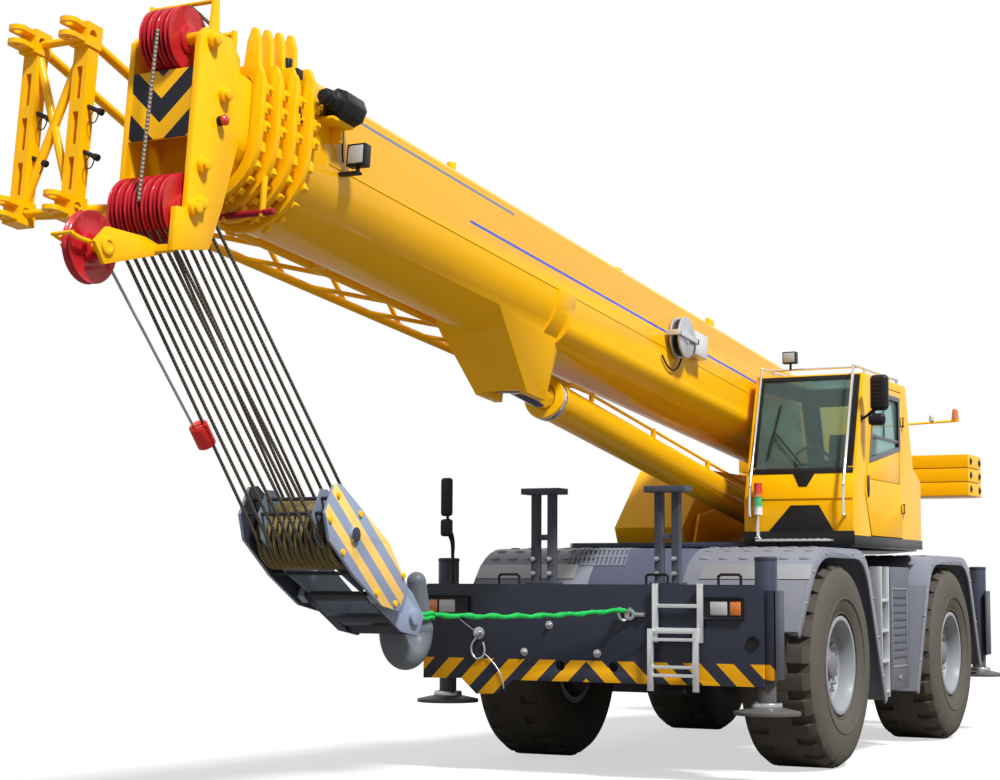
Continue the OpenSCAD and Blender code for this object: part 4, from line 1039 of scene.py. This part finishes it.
nose_pin = turned([(-0.002, 0), (-0.002, 0.055), (0.014, 0.055), (0.02, 0.03), (0.012, 0.026), (0.012, 0)],
                  (12.63, 0.125, -0.84), to_left, 24)
on_boom(nose_pin, "nose_pin", amber_paint, "section_5", 0.002)

# Jib
# A lattice jib of welded tube stowed along the boom's right side, with drilled end lugs,
# black locking pins on lanyards and yellow paint.
eased("jib", amber_paint, 0)
lock_pin = turned([(0, 0), (0, 0.015), (0.09, 0.015), (0.096, 0.022), (0.125, 0.022), (0.13, 0)],
                  middle, to_left, 16)
lanyard = piped([(0, 0.1, -0.02), (0, 0.115, -0.07), (0.02, 0.09, -0.1), (0.02, 0.06, -0.07),
                 (0, 0.05, -0.014)], 0.004)
pin_lean = Matrix.Rotation(math.radians(-24), 4, "X")
pin_spots = [at((12.11, v + 0.053, w)) @ pin_lean for v in (-0.6, -1.0) for w in (-0.06, 0.23)]
on_boom(copied(gathered([lock_pin, lanyard]), pin_spots), "jib_pins", black_shell, ease=0)

# Hook block
# Two pairs of flame-cut cheek plates round seven sheaves, pale grey with slanted yellow
# bands on the outer plates. Brass-coloured sheave rims show between the rope turns.
block_line = ((8.403, 0, 1.967), 60)
plate_grey = (0.24, 0.29, 0.40)
band_yellow = (0.86, 0.53, 0.14)
band_pitch = 0.165
sheave_pitch = 0.084


def on_block(piece, name, mat, ease=0.003):
    """Fit a piece that was made in the hook block's own frame."""
    return fitted(piece, name, mat, "hook", ease, place=leaning(*block_line))


block_paint = paint("block_paint", (0.030, 0.034, 0.045), 0.45)
net = block_paint.node_tree
u, v, w = axes(net, *block_line)
apart = reckon(net, "ABSOLUTE", v)
lay_over(block_paint, plate_grey, within(net, apart, 0.318, 0.36))
lay_over(block_paint, plate_grey, within(net, apart, 0.252, 0.3), within(net, w, -1.3, -0.45))
slant = reckon(net, "DIVIDE", reckon(net, "ADD", u, reckon(net, "MULTIPLY", w, 0.16)), band_pitch)
lay_over(block_paint, band_yellow, within(net, apart, 0.338, 0.36), within(net, w, -0.78, 0.4),
         within(net, reckon(net, "FRACT", slant), 0.3, 0.78))
eased("hook_block", block_paint, 0.006)
brass = paint("sheave_brass", (0.50, 0.39, 0.17), 0.35, metal=0.5, grain=18)
flange = turned([(-0.003, 0.16), (-0.003, 0.226), (0.003, 0.23), (0.003, 0.16)], middle, to_left, 48, True)
flange_spots = [at((0, sheave_pitch * i + side, 0)) for i in range(-3, 4) for side in (-0.021, 0.021)]
on_block(copied(flange, flange_spots), "block_rims", brass, 0)
inner_edge = [(-0.15, 0.33), (0.05, 0.33), (0.16, 0.22), (0.2, -0.15), (0.17, -0.48), (-0.14, -0.48),
              (-0.18, -0.3), (-0.19, 0.26)]
inner_plates = [cut_plate([(p, v, q) for p, q in inner_edge], (0, 0.01, 0)) for v in (0.205, -0.215)]
block_grey = paint("block_grey", (0.15, 0.18, 0.24), 0.42)
on_block(inner_plates, "block_inner_plates", block_grey)
guard_spots = ((0.195, -0.17), (-0.175, -0.185), (0.02, 0.3), (-0.1, 0.29))
guards = [rod((p, -0.318, q), (p, 0.318, q), 0.013, 12) for p, q in guard_spots]
on_block(guards, "block_guards", slate_dark, 0)
stud = turned([(-0.002, 0), (-0.002, 0.022), (0.012, 0.02), (0.018, 0)], middle, to_left, 14)
stud_spots = ((-0.12, 0.3), (0.07, 0.3), (-0.16, 0.0), (0.17, 0.06), (0.18, -0.45), (-0.1, -0.7),
              (0.12, -0.7))
on_block(copied(stud, both_sides(0.34, stud_spots)), "block_studs", amber_paint, 0)

# Hoist rope
# Fourteen parts of stranded steel rope between the head and the block, greasy and dark,
# with half turns under the block's sheaves. A red weight on a chain trips the limit switch.
fall_line = ((10.139, 0, 3.848), 42.7)
turn_middle, turn_radius = -2.56, 0.207
fall_rope = stranded("fall_rope_steel", *fall_line)
eased("rope_falls", fall_rope, 0)
half_turn = [(turn_radius * c, turn_middle + turn_radius * s) for c, s in round_turn(13, 15, 180)]
turns = [piped([(p, sheave_pitch * i, q) for p, q in half_turn], 0.011, False) for i in range(-3, 4)]
fitted(turns, "rope_turns", fall_rope, "hook", 0, place=leaning(*fall_line))
weight_red = paint("weight_red", (0.62, 0.014, 0.014), 0.4, coat=0.3)
net = weight_red.node_tree
lay_over(weight_red, (0.35, 0.36, 0.38), within(net, axes(net, *fall_line)[2], -1.405, 0.3))
eased("limit_weight", weight_red, 0.006)

# Hook and sling
# A forged steel hook, grey and rough from the forge, tied back to the bumper by a green
# webbing sling that is twisted and wrapped round the hook's tip.
hook_steel = paint("hook_steel", (0.115, 0.128, 0.148), 0.42, grain=12, shift=0.2, bump=0.3)
eased("load_hook", hook_steel, 0)
on_block(piped([(-0.02, 0, -1.3), (-0.1, 0, -1.36), (-0.22, 0, -1.42)], 0.014), "hook_latch", alloy, 0)
sling_green = paint("sling_green", (0.015, 0.42, 0.075), 0.75, grain=40, shift=0.35, bump=0.5)
near, far = Vector((6.832, 0.0318, 1.4217)), Vector((3.984, 0.3675, 1.44))
knots = 48
run, width = [], []
for i in range(knots + 1):
    f = i / knots
    sag = -0.03 * math.sin(math.pi * f) + 0.006 * math.sin(7.3 * i) + 0.004 * math.sin(2.9 * i + 1)
    run.append(near.lerp(far, f) + Vector((0, 0.003 * math.sin(3.1 * i), sag)))
    width.append(1 + 0.22 * math.sin(5.1 * i) + 0.16 * math.sin(2.3 * i + 0.6))
strap = fitted(piped(run, 0.019, True, width), "sling_web", sling_green, "hook", 0)
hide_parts("sling")
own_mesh(strap)
tip_x, tip_z, loop_radius = 6.926, 1.42, 0.108
loops = []
for lift in (-0.016, 0.014):
    loop = []
    for i, (c, s) in enumerate(round_turn(24, 15)):
        rumple = 0.006 * math.sin(math.radians(75 * i))
        loop.append((tip_x + loop_radius * c, loop_radius * s, tip_z + lift + rumple))
    loops.append(piped(loop, 0.016, False, closed=True))
fitted(loops, "sling_loops", sling_green, "hook", 0)

# Luffing cylinder
# A honed steel barrel sprayed yellow with a bright gland ring, a feed pipe clipped along
# its top and a chromed rod.
cylinder_at = leaning((-1.2, 0, 2.3), -8.5786)
eased("luff_barrel", amber_paint, 0.006)
eased("luff_rod", chrome, 0.002)
gland = turned([(6.02, 0.1785), (6.02, 0.186), (6.085, 0.186), (6.085, 0.1785)], middle, to_front, 48, True)
fitted(gland, "gland_ring", chrome, "luff_barrel", 0.002, place=cylinder_at)
feed_run = [(0.62, 0.1, 0.1), (0.66, 0.12, 0.17), (0.8, 0.12, 0.18), (5.7, 0.12, 0.18), (5.84, 0.12, 0.17),
            (5.88, 0.1, 0.12)]
pipe = [piped(feed_run, 0.015, False)]
pipe += [slab((p, 0.1, 0.1), (p + 0.03, 0.14, 0.2)) for p in (1.2, 2.6, 4.0, 5.4)]
pipe += [slab((0.42, -0.12, 0.14), (0.62, 0.12, 0.2)), slab((0.46, -0.2, -0.06), (0.6, 0.2, 0.06))]
fitted(pipe, "feed_pipe", amber_paint, "luff_barrel", 0.004, place=cylinder_at)
